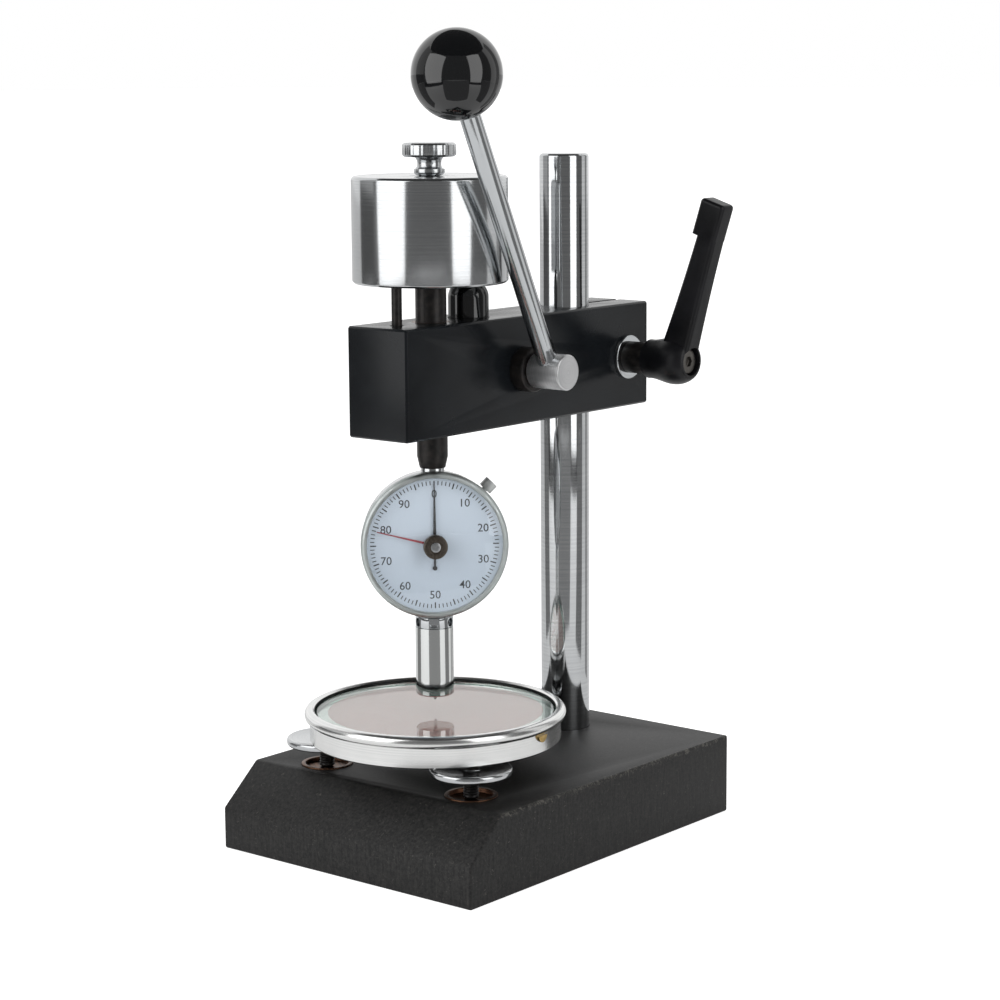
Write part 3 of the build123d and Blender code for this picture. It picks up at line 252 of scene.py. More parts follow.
def phenolic():
    """Compression-moulded phenolic, tumbled to a deep black gloss."""
    finish, tree, shader, place = start_finish(
        "polished_black_phenolic", {"Base Color": colour("#08090b"), "IOR": 1.66}
    )
    wipe = add_node(tree, "ShaderNodeTexNoise", values={"Scale": 1 / (5 * MM), "Detail": 4.0},
                    links={"Vector": place})
    polish = add_node(tree, "ShaderNodeMapRange", values={"To Min": 0.03, "To Max": 0.1},
                      links={"Value": wipe.outputs["Fac"]})
    tree.links.new(polish.outputs[0], shader.inputs["Roughness"])
    return finish


def moulded_nylon():
    """Glass-filled nylon from a spark-eroded mould: black, with a fine matt grain."""
    finish, tree, shader, place = start_finish(
        "moulded_black_nylon", {"IOR": 1.53, "Specular IOR Level": 0.28}
    )
    grain = add_node(tree, "ShaderNodeTexNoise", values={"Scale": 1 / (0.45 * MM), "Detail": 2.0},
                     links={"Vector": place})
    rub = add_node(tree, "ShaderNodeTexNoise", values={"Scale": 1 / (12 * MM), "Detail": 4.0},
                   links={"Vector": place})
    shade = add_node(tree, "ShaderNodeValToRGB", links={"Fac": rub.outputs["Fac"]},
                     stops=((0.35, "#0a0a0c"), (0.7, "#131317")))
    tree.links.new(shade.outputs["Color"], shader.inputs["Base Color"])
    polish = add_node(tree, "ShaderNodeMapRange", values={"To Min": 0.28, "To Max": 0.42},
                      links={"Value": rub.outputs["Fac"]})
    tree.links.new(polish.outputs[0], shader.inputs["Roughness"])
    relief = add_node(tree, "ShaderNodeBump", values={"Strength": 0.3, "Distance": 0.08 * MM},
                      links={"Height": grain.outputs["Fac"]})
    tree.links.new(relief.outputs[0], shader.inputs["Normal"])
    return finish


def float_glass(name, tint, edge):
    """Clear float glass; the same melt looks green through a ground edge."""
    finish, tree, shader, place = start_finish(
        name, {"Base Color": colour(tint), "IOR": 1.52, "Transmission Weight": 1.0,
               "Specular IOR Level": 0.2, "Roughness": 0.0},
    )
    if edge:
        grind = add_node(tree, "ShaderNodeTexNoise", values={"Scale": 1 / (0.4 * MM)},
                         links={"Vector": place})
        frost = add_node(tree, "ShaderNodeMapRange", values={"To Min": 0.18, "To Max": 0.4},
                         links={"Value": grind.outputs["Fac"]})
        tree.links.new(frost.outputs[0], shader.inputs["Roughness"])
    return finish


def dial_card():
    """Screen-printed dial sheet: cool white enamel, with painted shade towards the lower rim."""
    finish, tree, shader, place = start_finish(
        "dial_white_enamel", {"Roughness": 0.45, "Specular IOR Level": 0.3}
    )
    height = add_node(tree, "ShaderNodeSeparateXYZ", links={0: place})
    low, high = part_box("dial_plate")
    # painted shade: the sheet is drawn darker towards its lower rim and lighter towards the top
    painted_shade_fade = add_node(tree, "ShaderNodeMapRange", values={"From Min": low[2], "From Max": high[2]},
                    links={"Value": height.outputs["Z"]})
    speck = add_node(tree, "ShaderNodeTexNoise", values={"Scale": 1 / (1.5 * MM), "Detail": 3.0},
                     links={"Vector": place})
    toned = add_node(tree, "ShaderNodeMath", {"operation": "MULTIPLY_ADD"}, {1: 0.08},
                     {0: speck.outputs["Fac"], 2: painted_shade_fade.outputs[0]})
    shade = add_node(tree, "ShaderNodeValToRGB", links={"Fac": toned.outputs[0]},
                     stops=((0.0, "#b2bcc6"), (1.0, "#c5ced7")))
    tree.links.new(shade.outputs["Color"], shader.inputs["Base Color"])
    return finish


def paint(name, low, high, roughness, grain=1.2):
    """Thin brushed or printed colour with small changes of tone and gloss."""
    finish, tree, shader, place = start_finish(name, {"Specular IOR Level": 0.4})
    tone = add_node(tree, "ShaderNodeTexNoise", values={"Scale": 1 / (grain * MM), "Detail": 3.0},
                    links={"Vector": place})
    shade = add_node(tree, "ShaderNodeValToRGB", links={"Fac": tone.outputs["Fac"]},
                     stops=((0.3, low), (0.7, high)))
    tree.links.new(shade.outputs["Color"], shader.inputs["Base Color"])
    gloss = add_node(tree, "ShaderNodeMapRange",
                     values={"To Min": roughness * 0.8, "To Max": roughness * 1.2},
                     links={"Value": tone.outputs["Fac"]})
    tree.links.new(gloss.outputs[0], shader.inputs["Roughness"])
    return finish


# ------------------------------------------------------------------ modelling


def middle(node):
    """Centre of a CAD node's box at rest."""
    low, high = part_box(node)
    return (Vector(low) + Vector(high)) / 2


def start(kind, **settings):
    """Adds a primitive with nothing else selected and opens it in edit mode."""
    if bpy.context.object and bpy.context.object.mode == "EDIT":
        bpy.ops.object.mode_set(mode="OBJECT")
    bpy.ops.object.select_all(action="DESELECT")
    getattr(bpy.ops.mesh, f"primitive_{kind}_add")(**settings)
    bpy.ops.object.mode_set(mode="EDIT")
    return bpy.context.object


def plain(kind, **settings):
    """Adds a primitive that is placed or cut with as it is."""
    start(kind, **settings)
    bpy.ops.object.mode_set(mode="OBJECT")
    return bpy.context.object


def round_edges(piece, width):
    """Rounds every sharp edge, as a tool or a buffing wheel leaves it."""
    rounding = piece.modifiers.new("rounding", "BEVEL")
    rounding.width = width * MM
    rounding.segments = 3
    rounding.limit_method = "ANGLE"
    rounding.angle_limit = SHARP
    bpy.ops.object.modifier_apply(modifier=rounding.name)


def close_up(piece, name, place, width):
    """Ends the modelling of a piece: clean mesh, rounded edges, its place, smooth shading."""
    bpy.ops.mesh.select_all(action="SELECT")
    bpy.ops.mesh.remove_doubles(threshold=WELD)
    bpy.ops.mesh.normals_make_consistent(inside=False)
    bpy.ops.object.mode_set(mode="OBJECT")
    piece.name = name
    piece.data.name = name
    if width:
        round_edges(piece, width)
    piece.matrix_world = place
    bpy.ops.object.transform_apply(location=True, rotation=True, scale=True)
    bpy.ops.object.shade_smooth_by_angle(angle=SMOOTH)
    return piece


def turn(name, outline, place, width=0.2, steps=96, closed=False):
    """Turns a piece on its axis, from ring to ring of an outline of (radius, height) in mm.

    A closed outline ends where it starts, as on a ring; an open one gets a flat end on
    its first and last ring.
    """
    radius, height = outline[0]
    piece = start("circle", vertices=steps, radius=radius * MM,
                  fill_type="NOTHING" if closed else "NGON")
    bpy.ops.transform.translate(value=(0, 0, height * MM))
    rings = list(outline[1:]) + ([outline[0]] if closed else [])
    for next_radius, next_height in rings:
        bpy.ops.mesh.extrude_region_move(
            TRANSFORM_OT_translate={"value": (0, 0, (next_height - height) * MM)}
        )
        ratio = next_radius / radius
        bpy.ops.transform.resize(value=(ratio, ratio, 1), center_override=(0, 0, next_height * MM))
        radius, height = next_radius, next_height
    if not closed:
        bpy.ops.mesh.select_all(action="SELECT")
        bpy.ops.mesh.remove_doubles(threshold=WELD)
        bpy.ops.mesh.select_all(action="DESELECT")
        bpy.ops.mesh.select_non_manifold()
        if piece.data.total_edge_sel:
            bpy.ops.mesh.fill_holes(sides=0)
    return close_up(piece, name, place, width)


def arc(centre_radius, centre_height, radius, start_angle, end_angle, count):
    """Points of a quarter round or a dome in an outline, angles in degrees from the radius."""
    points = []
    for i in range(count + 1):
        angle = radians(start_angle + (end_angle - start_angle) * i / count)
        points.append((centre_radius + radius * cos(angle), centre_height + radius * sin(angle)))
    return points


def refine(name, node, width):
    """Copies a CAD node, joins its loose triangles and rounds its edges."""
    bpy.ops.object.select_all(action="DESELECT")
    source = frame["nodes"][node]
    piece = source.copy()
    piece.data = source.data.copy()
    bpy.context.collection.objects.link(piece)
    piece.parent = None
    piece.matrix_world = Matrix()
    bpy.context.view_layer.objects.active = piece
    piece.select_set(True)
    bpy.ops.object.mode_set(mode="EDIT")
    bpy.ops.mesh.select_all(action="SELECT")
    bpy.ops.mesh.remove_doubles(threshold=CAD_WELD)
    bpy.ops.mesh.dissolve_limited(angle_limit=FLAT)
    bpy.ops.object.mode_set(mode="OBJECT")
    piece.name = name
    piece.data.name = name
    if width:
        round_edges(piece, width)
    bpy.ops.object.shade_smooth_by_angle(angle=SMOOTH)
    return piece


def install(piece, finish, node, also=()):
    """Gives a finished piece its material and its node's body, and hides the node."""
    piece.data.materials.clear()
    piece.data.materials.append(finish)
    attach(piece, body_of_node[node])
    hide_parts(node, *also)
    return piece


def trim(piece, finish, node):
    """Gives a small piece its material, riding with the node that carries it."""
    piece.data.materials.clear()
    piece.data.materials.append(finish)
    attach(piece, body_of_node[node])
    return piece


def upright(node):
    """Place of a vertical axis through a node's centre, at height zero."""
    at = middle(node)
    return Matrix.Translation((at.x, at.y, 0))


def sideways(node):
    """Place of an axis along +X through a node's centre, starting at X zero."""
    at = middle(node)
    return Matrix.Translation((0, at.y, at.z)) @ Matrix.Rotation(pi / 2, 4, "Y")


def span(node, axis):
    """Lowest and highest value of a node's box along an axis, in mm."""
    low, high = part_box(node)
    return low[axis] / MM, high[axis] / MM


def half_width(node, axis=0):
    """Half a node's size along an axis, in mm, which is the radius of a round piece."""
    low, high = span(node, axis)
    return (high - low) / 2


# the dial's axis, horizontal, turned from -Y towards +X
DIAL_HEADING = radians(45)
dial_out = Vector((sin(DIAL_HEADING), -cos(DIAL_HEADING), 0))
dial_right = Vector((cos(DIAL_HEADING), sin(DIAL_HEADING), 0))
spindle_at = middle("spindle")
dial_height = middle("dial_plate").z
dial_centre = Vector((spindle_at.x, spindle_at.y, dial_height))
dial_place = Matrix.Translation(dial_centre) @ Matrix(
    (
        (dial_right.x, 0, dial_out.x, 0),
        (dial_right.y, 0, dial_out.y, 0),
        (0, 1, 0, 0),
        (0, 0, 0, 1),
    )
)

# ------------------------------------------------------------------ finishes
base_finish = stove_enamel()
arm_finish = gloss_enamel("black_arm_enamel", "#0e1013", "#15181b", 0.24)
chrome = bright_plate("chromium_plate", "#c6c9cb", 0.035)
oxide = black_oxide()
ball_finish = phenolic()
nylon = moulded_nylon()
bronze = turned_metal("turned_bronze", "#3d2d24", "#8a6650", 0.34)
brass = paint("brass", "#a98a4e", "#cdb27a", 0.3)
brass.node_tree.nodes["Principled BSDF"].inputs["Metallic"].default_value = 1.0
steel_screw = bright_plate("zinc_plated_steel", "#b4b6b8", 0.2)
spring_steel = bright_plate("spring_steel", "#8d9094", 0.22)
plate_glass = float_glass("float_glass", "#eef7f3", False)
edge_glass = float_glass("ground_glass_edge", "#7fc2a8", True)
crystal_glass = float_glass("watch_crystal", "#fbfdff", False)
dial_finish = dial_card()
print_ink = paint("black_printing_ink", "#0b0c0e", "#1a1b1e", 0.5)
hand_paint = paint("black_hand_lacquer", "#08080a", "#151517", 0.35)
red_paint = paint("red_hand_lacquer", "#7c1a24", "#96303a", 0.35)
knob_finish = turned_metal("gunmetal_knob", "#4d463f", "#7d756c", 0.3)
backing = paint("rose_grey_backing_sheet", "#c88f8e", "#d29c9a", 0.6, grain=2.5)
# a flat pale green disc under the glass: painted refraction of the glass's edge
edge_crescent_paint = paint("painted_edge_refraction", "#b4d0c4", "#c6ddd2", 0.6, grain=2.5)


def steel_on(node, name, roughness=0.1, turn_by=(0, 0, 0), line=0.4, depth=0.5,
             dark="#bbbdbf", light="#cacccd"):
    """Turned or ground steel whose rings are centred on a node's own axis."""
    return turned_metal(name, dark, light, roughness, turn_by, tuple(middle(node)), line, depth)


# turns a finish's rings to the lever's axis, along +X
SIDEWAYS = (0, -pi / 2, 0)

# ------------------------------------------------------------------ base
WHEEL_RIM = 1.0             # radius of a wheel's rounded rim, mm
WHEEL_BOSS = 5.4            # radius of the boss where a wheel is pinned to its stem
BOSS_PROUD = 0.25           # how far the boss stands out of the wheel
THREAD_PITCH = 1.0
THREAD_GROOVE = 0.28
install(refine("base_casting", "base_plate", 0.35), base_finish, "base_plate")
for corner in ("front_right", "front_left", "rear"):
    stem_low, stem_high = span(f"levelling_screw_{corner}", 2)
    wheel_low, wheel_high = span(f"levelling_wheel_{corner}", 2)
    wheel_radius = half_width(f"levelling_wheel_{corner}")
    stem_radius = half_width(f"levelling_screw_{corner}")
    place = upright(f"levelling_wheel_{corner}")
    # rounded rim, and a boss either side where the wheel is pinned to its stem
    bore, web, foot = stem_radius + 0.05, wheel_radius - 1.4, WHEEL_BOSS + 0.3
    outline = [(bore, wheel_low), (WHEEL_BOSS, wheel_low), (foot, wheel_low + BOSS_PROUD),
               (web, wheel_low + BOSS_PROUD)]
    outline += arc(wheel_radius - WHEEL_RIM, wheel_low + WHEEL_RIM, WHEEL_RIM, -80, 0, 5)
    outline += arc(wheel_radius - WHEEL_RIM, wheel_high - WHEEL_RIM, WHEEL_RIM, 0, 80, 5)
    outline += [(web, wheel_high - BOSS_PROUD), (foot, wheel_high - BOSS_PROUD),
                (WHEEL_BOSS, wheel_high), (bore, wheel_high)]
    wheel = turn(f"levelling_wheel_{corner}_turned", outline, place, 0.12, closed=True)
    install(wheel, steel_on(f"levelling_wheel_{corner}", f"turned_aluminium_{corner}", 0.14),
            f"levelling_wheel_{corner}")
    # the thread shows as fine grooves where the stem leaves the cup
    outline = [(stem_radius * 0.72, stem_low), (stem_radius, stem_low + 0.8)]
    level = stem_low + 1.2
    while level < wheel_low - 0.6:
        outline += [(stem_radius, level),
                    (stem_radius - THREAD_GROOVE, level + THREAD_PITCH / 2)]
        level += THREAD_PITCH
    outline += [(stem_radius, level), (stem_radius, stem_high - 0.6),
                (stem_radius * 0.8, stem_high)]
    stem = turn(f"levelling_stem_{corner}", outline, place, 0.0, steps=48)
    install(stem, oxide, f"levelling_screw_{corner}")
install(refine("levelling_cups_turned", "levelling_cups", 0.18), bronze, "levelling_cups")

# ------------------------------------------------------------------ column
low, high = span("column", 2)
radius = half_width("column")
outline = [(radius - 0.8, low), (radius, low + 0.8), (radius, high - 0.8), (radius - 0.8, high)]
column = turn("column_ground", outline, upright("column"), 0.3, steps=128)
install(column, steel_on("column", "centreless_ground_steel", 0.075, line=0.9, depth=0.25),
        "column")

# ------------------------------------------------------------------ platform
WALL_INSIDE_LIP = 2.0       # how far the ring's wall stands inside its rolled lip, mm
LIP_HEIGHT = 4.8
WEB_RADIUS = 20.0           # radius of the opening in the ring's web, under the glass
GLASS_PLAY = 0.12           # room round the glass in its seat
SEAT_GAP = 0.02             # how far the glass stands over its seat
ring_low, ring_high = span("platform_ring", 2)
lip_radius = half_width("platform_ring")
wall_radius = lip_radius - WALL_INSIDE_LIP
glass_low, glass_high = span("glass_plate", 2)
glass_radius = half_width("glass_plate")
lip_foot = ring_high - LIP_HEIGHT
outline = [(WEB_RADIUS, ring_low), (wall_radius - 0.6, ring_low), (wall_radius, ring_low + 0.6),
           (wall_radius, lip_foot - 0.3), (wall_radius + 0.1, lip_foot)]
# rolled lip: an arc through the wall at its foot and top and the lip's widest point
half_lip = LIP_HEIGHT / 2
lip_arc = (half_lip**2 + WALL_INSIDE_LIP**2) / (2 * WALL_INSIDE_LIP)
opening = degrees(asin(half_lip / lip_arc))
outline += arc(lip_radius - lip_arc - 0.02, ring_high - half_lip, lip_arc,
               -opening + 6, opening - 4, 12)
outline += [(wall_radius - 0.3, ring_high), (glass_radius + 0.7, ring_high),
            (glass_radius + GLASS_PLAY, ring_high - 0.6),
            (glass_radius + GLASS_PLAY, glass_low - SEAT_GAP), (WEB_RADIUS, glass_low - SEAT_GAP)]
ring = turn("platform_ring_turned", outline, upright("platform_ring"), 0.0, steps=192,
            closed=True)
install(ring, steel_on("platform_ring", "satin_nickel_plate", 0.2, line=0.5, depth=0.3,
                       dark="#dedfde", light="#ececeb"),
        "platform_ring")
# the ring's seat wall round the glass is coloured black: painted shade on the inner wall
ring.data.materials.append(paint("painted_shade_seat_wall", "#0b0b0c", "#151516", 0.5))
ring_axis = middle("platform_ring")
for face in ring.data.polygons:
    out = Vector((face.center.x - ring_axis.x, face.center.y - ring_axis.y, 0))
    # faces of the seat wall beside and above the glass take the painted shade
    if out.length < (glass_radius + 0.4) * MM and face.center.z > glass_low * MM:
        face.material_index = 1
outline = [(glass_radius - 0.4, glass_low), (glass_radius, glass_low + 0.4),
           (glass_radius, glass_high - 0.9), (glass_radius - 0.9, glass_high)]
glass = turn("platform_glass", outline, upright("glass_plate"), 0.0, steps=192)
install(glass, plate_glass, "glass_plate")
glass.data.materials.append(edge_glass)
for face in glass.data.polygons:
    if abs(face.normal.z) < 0.9:
        face.material_index = 1
# rose-grey sheet under the glass, and beyond it a pale green disc: painted refraction,
# the green crescent that the glass's own edge shows through the glass. The sheet is shifted
# away from the camera so that the green shows most at the front. For each, its inset from
# the glass's edge, its shift away from the camera and its depth, mm
away = -Vector((sin(CAMERA_HEADING), -cos(CAMERA_HEADING), 0))
for name, finish, inset, shift, level in (
    ("painted_edge_refraction_disc", edge_crescent_paint, 1.6, 0.0, 0.03),
    ("glass_backing_sheet", backing, 5.0, 3.2, 0.015),
):
    sheet = turn(name, [(glass_radius - inset, glass_low - level),
                        (glass_radius - inset, glass_low - level + 0.01)],
                 Matrix.Translation(away * shift * MM) @ upright("glass_plate"), 0.0, steps=128)
    trim(sheet, finish, "platform_ring")
install(refine("glass_screws_slotted", "glass_screws", 0.15), brass, "glass_screws")

# ------------------------------------------------------------------ arm
install(refine("arm_casting", "arm_block", 0.3), arm_finish, "arm_block")

# ------------------------------------------------------------------ weight and spindle
THREAD_RADIUS = 4.0         # the spindle's thread, mm
CLEAR_BORE = 4.06           # a bore that passes over a rod or thread of that radius
low, high = span("weight", 2)
radius = half_width("weight")
outline = [(radius - 0.9, low), (radius, low + 0.9), (radius, high - 0.9), (radius - 0.9, high),
           (8.0, high), (7.6, high - 0.25), (CLEAR_BORE, high - 0.25), (CLEAR_BORE, low)]
weight = turn("weight_turned", outline, upright("weight"), 0.25, steps=160, closed=True)
install(weight, steel_on("weight", "turned_weight_steel", 0.13, line=0.5, depth=0.6),
        "weight")

shoulder = low
low, high = span("spindle", 2)
outline = [(5.0, low), (6.0, low + 4.5), (6.0, shoulder), (THREAD_RADIUS, shoulder),
           (THREAD_RADIUS, high)]
spindle = turn("spindle_turned", outline, upright("spindle"), 0.2, steps=96)
install(spindle, oxide, "spindle")
low, high = span("guide_pin", 2)
pin = turn("guide_pin_turned", [(1.5, low), (2.0, low + 0.5), (2.0, high)], upright("guide_pin"),
           0.0, steps=48)
install(pin, oxide, "guide_pin")

low, high = span("weight_nut", 2)
NUT_BORE = 4.08
flange = low + 2.6          # top of the foot that bears on the weight
neck = low + 7.1            # top of the waist, where the disc begins
disc_radius = half_width("weight_nut")
outline = [(NUT_BORE, low), (5.0, low), (5.95, low + 1.1), (5.95, flange), (5.3, flange),
           (4.75, flange + 0.9), (4.6, flange + 1.9), (4.75, neck - 1.4), (5.4, neck - 0.3),
           (6.6, neck), (disc_radius - 0.8, neck), (disc_radius, neck + 0.8),
           (disc_radius, high - 0.8), (disc_radius - 0.8, high), (NUT_BORE, high)]
nut = turn("weight_nut_turned", outline, upright("weight_nut"), 0.15, steps=144, closed=True)
# flutes round the disc: a cut every ten degrees
FLUTES = 36
FLUTE_DEPTH = 0.1
FLUTE_START, FLUTE_END = 0.2, 0.55  # the part of each pitch that is cut
axis = middle("weight_nut")
for vertex in nut.data.vertices:
    out = Vector((vertex.co.x - axis.x, vertex.co.y - axis.y, 0))
    if out.length > (disc_radius - 0.5) * MM and neck * MM < vertex.co.z:
        phase = (degrees(atan2(out.y, out.x)) * FLUTES / 360) % 1
        if FLUTE_START < phase < FLUTE_END:
            vertex.co -= out.normalized() * FLUTE_DEPTH * MM
cap = turn("weight_nut_cap", [(CLEAR_BORE, high - 1.6), (CLEAR_BORE, high)],
           upright("weight_nut"), 0.0, steps=96)
install(nut, steel_on("weight_nut", "knurled_nut_steel", 0.2, line=0.4), "weight_nut")
trim(cap, steel_on("weight_nut", "faced_nut_steel", 0.12, line=0.3), "weight_nut")

# ------------------------------------------------------------------ damper
DOME_RADIUS = 6.8
low, high = span("damper_cap", 2)
radius = half_width("damper_cap")
dome = arc(radius - DOME_RADIUS, high - DOME_RADIUS, DOME_RADIUS, 0, 88, 12)
cap = turn("damper_dome", [(radius, low)] + dome, upright("damper_cap"), 0.0, steps=96)
install(cap, ball_finish, "damper_cap")

# ------------------------------------------------------------------ lever
for node, name, finish, outline in (
    ("lever_bush", "lever_bush_turned", oxide,
     lambda a, b: [(6.0, a), (6.0, b - 6.2), (8.8, b - 6.2), (8.8, b - 0.5), (8.3, b),
                   (CLEAR_BORE, b), (CLEAR_BORE, a)]),
    ("clamp_washer", "clamp_washer_turned", chrome,
     lambda a, b: [(4.3, a), (9.0, a), (9.0, b - 0.3), (8.7, b), (4.3, b)]),
):
    low, high = span(node, 0)
    piece = turn(name, outline(low, high), sideways(node), 0.12, steps=96, closed=True)
    install(piece, finish, node)
low, high = span("lever_hub", 0)
hub = turn("lever_hub_turned", [(6.6, low), (7.0, low + 0.4), (7.0, high - 0.5), (6.5, high)],
           sideways("lever_hub"), 0.15, steps=128)
install(hub, steel_on("lever_hub", "faced_hub_steel", 0.38, SIDEWAYS, line=0.5, depth=0.4,
                      dark="#d2d3d4", light="#e2e2e3"),
        "lever_hub")
low, high = span("lever_shaft", 0)
shaft = turn("lever_shaft_turned", [(4.0, low), (4.0, high - 1.0)], sideways("lever_shaft"), 0.2,
             steps=64)
install(shaft, steel_on("lever_shaft", "lever_shaft_steel", 0.15, SIDEWAYS), "lever_shaft")

ROD_OUT = 28.5              # where the rod's axis crosses the shaft's, from the arm's centre, mm
LEAN = radians(33.4)        # of the rod towards the front
SPLAY = radians(7.3)        # of the rod away from the arm
shaft_at = middle("lever_shaft")
rod_root = Vector((ROD_OUT * MM, shaft_at.y, shaft_at.z))
rod_way = Vector((sin(SPLAY), -cos(SPLAY) * sin(LEAN), cos(SPLAY) * cos(LEAN)))
rod_place = Matrix.Translation(rod_root) @ rod_way.to_track_quat("Z", "Y").to_matrix().to_4x4()
BALL_AT = 138.5             # distance of the ball's centre from the shaft, along the rod
BALL_RADIUS = 16.5
BALL_FLAT = 7.0             # radius of the flat where the rod goes in
flat_at = BALL_AT - sqrt(BALL_RADIUS**2 - BALL_FLAT**2)
rod = turn("lever_rod_ground", [(3.9, 5.0), (4.0, 5.3), (4.0, flat_at + 10.0)], rod_place, 0.0,
           steps=96)
install(rod, bright_plate("polished_rod_steel", "#c6c9cb", 0.07), "lever_rod")
first = degrees(asin(-(BALL_AT - flat_at) / BALL_RADIUS))
outline = [(4.15, flat_at + 0.6), (5.0, flat_at), (BALL_FLAT - 0.5, flat_at)]
outline += arc(0, BALL_AT, BALL_RADIUS, first + 1.5, 89.3, 40)
ball = turn("lever_ball_moulded", outline, rod_place, 0.0, steps=128)
install(ball, ball_finish, "lever_ball")

# ------------------------------------------------------------------ clamp
COLLAR_RADIUS = 6.5
COLLAR_END = 27.0
low, high = span("clamp_stud", 0)
washer_face = span("clamp_washer", 0)[1]
outline = [(4.0, low), (4.0, washer_face), (COLLAR_RADIUS, washer_face),
           (COLLAR_RADIUS, COLLAR_END), (4.5, COLLAR_END), (4.5, high)]
stud = turn("clamp_stud_turned", outline, sideways("clamp_stud"), 0.15, steps=96)
install(stud, oxide, "clamp_stud")
install(refine("clamp_handle_moulded", "clamp_handle", 0.5), nylon, "clamp_handle")
install(refine("clamp_cap_screw_turned", "clamp_cap_screw", 0.12),
        bright_plate("oiled_screw_steel", "#6d6a66", 0.25), "clamp_cap_screw")

# ------------------------------------------------------------------ durometer
case = refine("durometer_case_turned", "durometer_case", 0.25)
install(case, steel_on("durometer_case", "satin_case_plate", 0.16, line=0.5), "durometer_case")
install(refine("case_cover_turned", "case_cover", 0.2),
        steel_on("case_cover", "brushed_cover_plate", 0.2), "case_cover")

# places along the dial's axis, from the spindle's centre outwards, mm
BEZEL_BACK = 5.1
PLATE_BACK = 5.7
PLATE_FACE = 6.3
PRINT_DEPTH = 6.31          # the printing lies just proud of the plate
CRYSTAL_BACK = 8.2
CRYSTAL_FACE = 9.3
CRYSTAL_HOLE = 1.56         # radius, for the knob's stem
PLATE_HOLE = 1.1            # radius, for the hand's arbor

bezel_radius = half_width("bezel", 2)
crystal_radius = half_width("crystal", 2)
plate_radius = half_width("dial_plate", 2)
spigot_radius = bezel_radius - 3.75
rebate_radius = crystal_radius - 0.75
seat_radius = crystal_radius + 0.05
pocket_radius = plate_radius + 0.1
outline = [(spigot_radius, BEZEL_BACK), (bezel_radius - 0.5, BEZEL_BACK), (bezel_radius, 5.6),
           (bezel_radius, 7.6)]
outline += arc(bezel_radius - 1.8, 7.9, 1.8, 10, 80, 8)
outline += [(rebate_radius + 0.2, 9.7), (rebate_radius, 9.45), (rebate_radius, CRYSTAL_FACE),
            (seat_radius, CRYSTAL_FACE), (seat_radius, CRYSTAL_BACK),
            (pocket_radius, CRYSTAL_BACK), (pocket_radius, PLATE_BACK),
            (spigot_radius, PLATE_BACK)]
bezel = turn("bezel_turned", outline, dial_place, 0.0, steps=192, closed=True)
install(bezel, bright_plate("satin_bezel_chrome", "#c6cccb", 0.34), "bezel")

outline = [(CRYSTAL_HOLE, CRYSTAL_BACK), (crystal_radius, CRYSTAL_BACK), (crystal_radius, 8.9),
           (rebate_radius, CRYSTAL_FACE), (CRYSTAL_HOLE, CRYSTAL_FACE)]
crystal = turn("crystal_polished", outline, dial_place, 0.0, steps=160, closed=True)
install(crystal, crystal_glass, "crystal")
crystal.visible_shadow = False

outline = [(PLATE_HOLE, PLATE_BACK), (plate_radius, PLATE_BACK), (plate_radius, PLATE_FACE),
           (PLATE_HOLE, PLATE_FACE)]
plate = turn("dial_plate_printed", outline, dial_place, 0.0, steps=160, closed=True)
install(plate, dial_finish, "dial_plate")

# graduations: one mark for each unit of the hundred, a longer one every five
UNITS = 100
TICK_RADIUS = plate_radius - 1.5
LONG_TICK = (2.3, 0.5)      # length and thickness, mm
SHORT_TICK = (1.6, 0.36)
template = plain("plane", size=1.0, location=(0, 0, 0))
pieces = []
for unit in range(UNITS):
    length, thickness = SHORT_TICK if unit % 5 else LONG_TICK
    mark = template.copy()
    mark.data = template.data.copy()
    bpy.context.collection.objects.link(mark)
    angle = -2 * pi * unit / UNITS
    turn_by = Matrix.Rotation(angle, 4, "Z")
    shift = Matrix.Translation((0, (TICK_RADIUS - length / 2) * MM, PRINT_DEPTH * MM))
    size = Matrix.Diagonal((thickness * MM, length * MM, 1, 1))
    mark.data.transform(dial_place @ turn_by @ shift @ size)
    pieces.append(mark)
bpy.data.objects.remove(template)

NUMBER_SIZE = 4.4
NUMBER_SWELL = 0.02         # how much the strokes are fattened, as ink spreads
NUMBER_RADIUS = 19.6
TENS = 10


def print_number(text, at):
    """A printed number, as a flat mesh on the dial."""
    bpy.ops.object.select_all(action="DESELECT")
    bpy.ops.object.text_add()
    number = bpy.context.object
    number.data.body = text
    number.data.size = NUMBER_SIZE * MM
    number.data.align_x = "CENTER"
    number.data.align_y = "CENTER"
    number.data.resolution_u = 4
    number.data.offset = NUMBER_SWELL * MM
    bpy.ops.object.convert(target="MESH")
    number = bpy.context.object
    number.data.transform(dial_place @ Matrix.Translation((at[0] * MM, at[1] * MM,
                                                           PRINT_DEPTH * MM)))
    return number


for tens in range(TENS):
    angle = 2 * pi * tens / TENS
    pieces.append(print_number(str(tens * 10),
                               (NUMBER_RADIUS * sin(angle), NUMBER_RADIUS * cos(angle))))
bpy.ops.object.select_all(action="DESELECT")
for piece in pieces:
    piece.select_set(True)
bpy.context.view_layer.objects.active = pieces[0]
bpy.ops.object.join()
printing = bpy.context.object
printing.name = "dial_printing"
printing.data.name = "dial_printing"
trim(printing, print_ink, "dial_plate")

install(refine("hand_stamped", "hand", 0.05), hand_paint, "hand")
install(refine("drag_hand_stamped", "drag_hand", 0.05), red_paint, "drag_hand")

outline = [(1.5, 7.9), (1.5, 9.6), (4.4, 9.6), (4.7, 9.9)]
outline += [(4.7, 12.4), (4.3, 12.9), (2.6, 12.98), (2.5, 12.4)]
knob = turn("drag_knob_turned", outline, dial_place, 0.08, steps=96)
install(knob, knob_finish, "drag_knob")
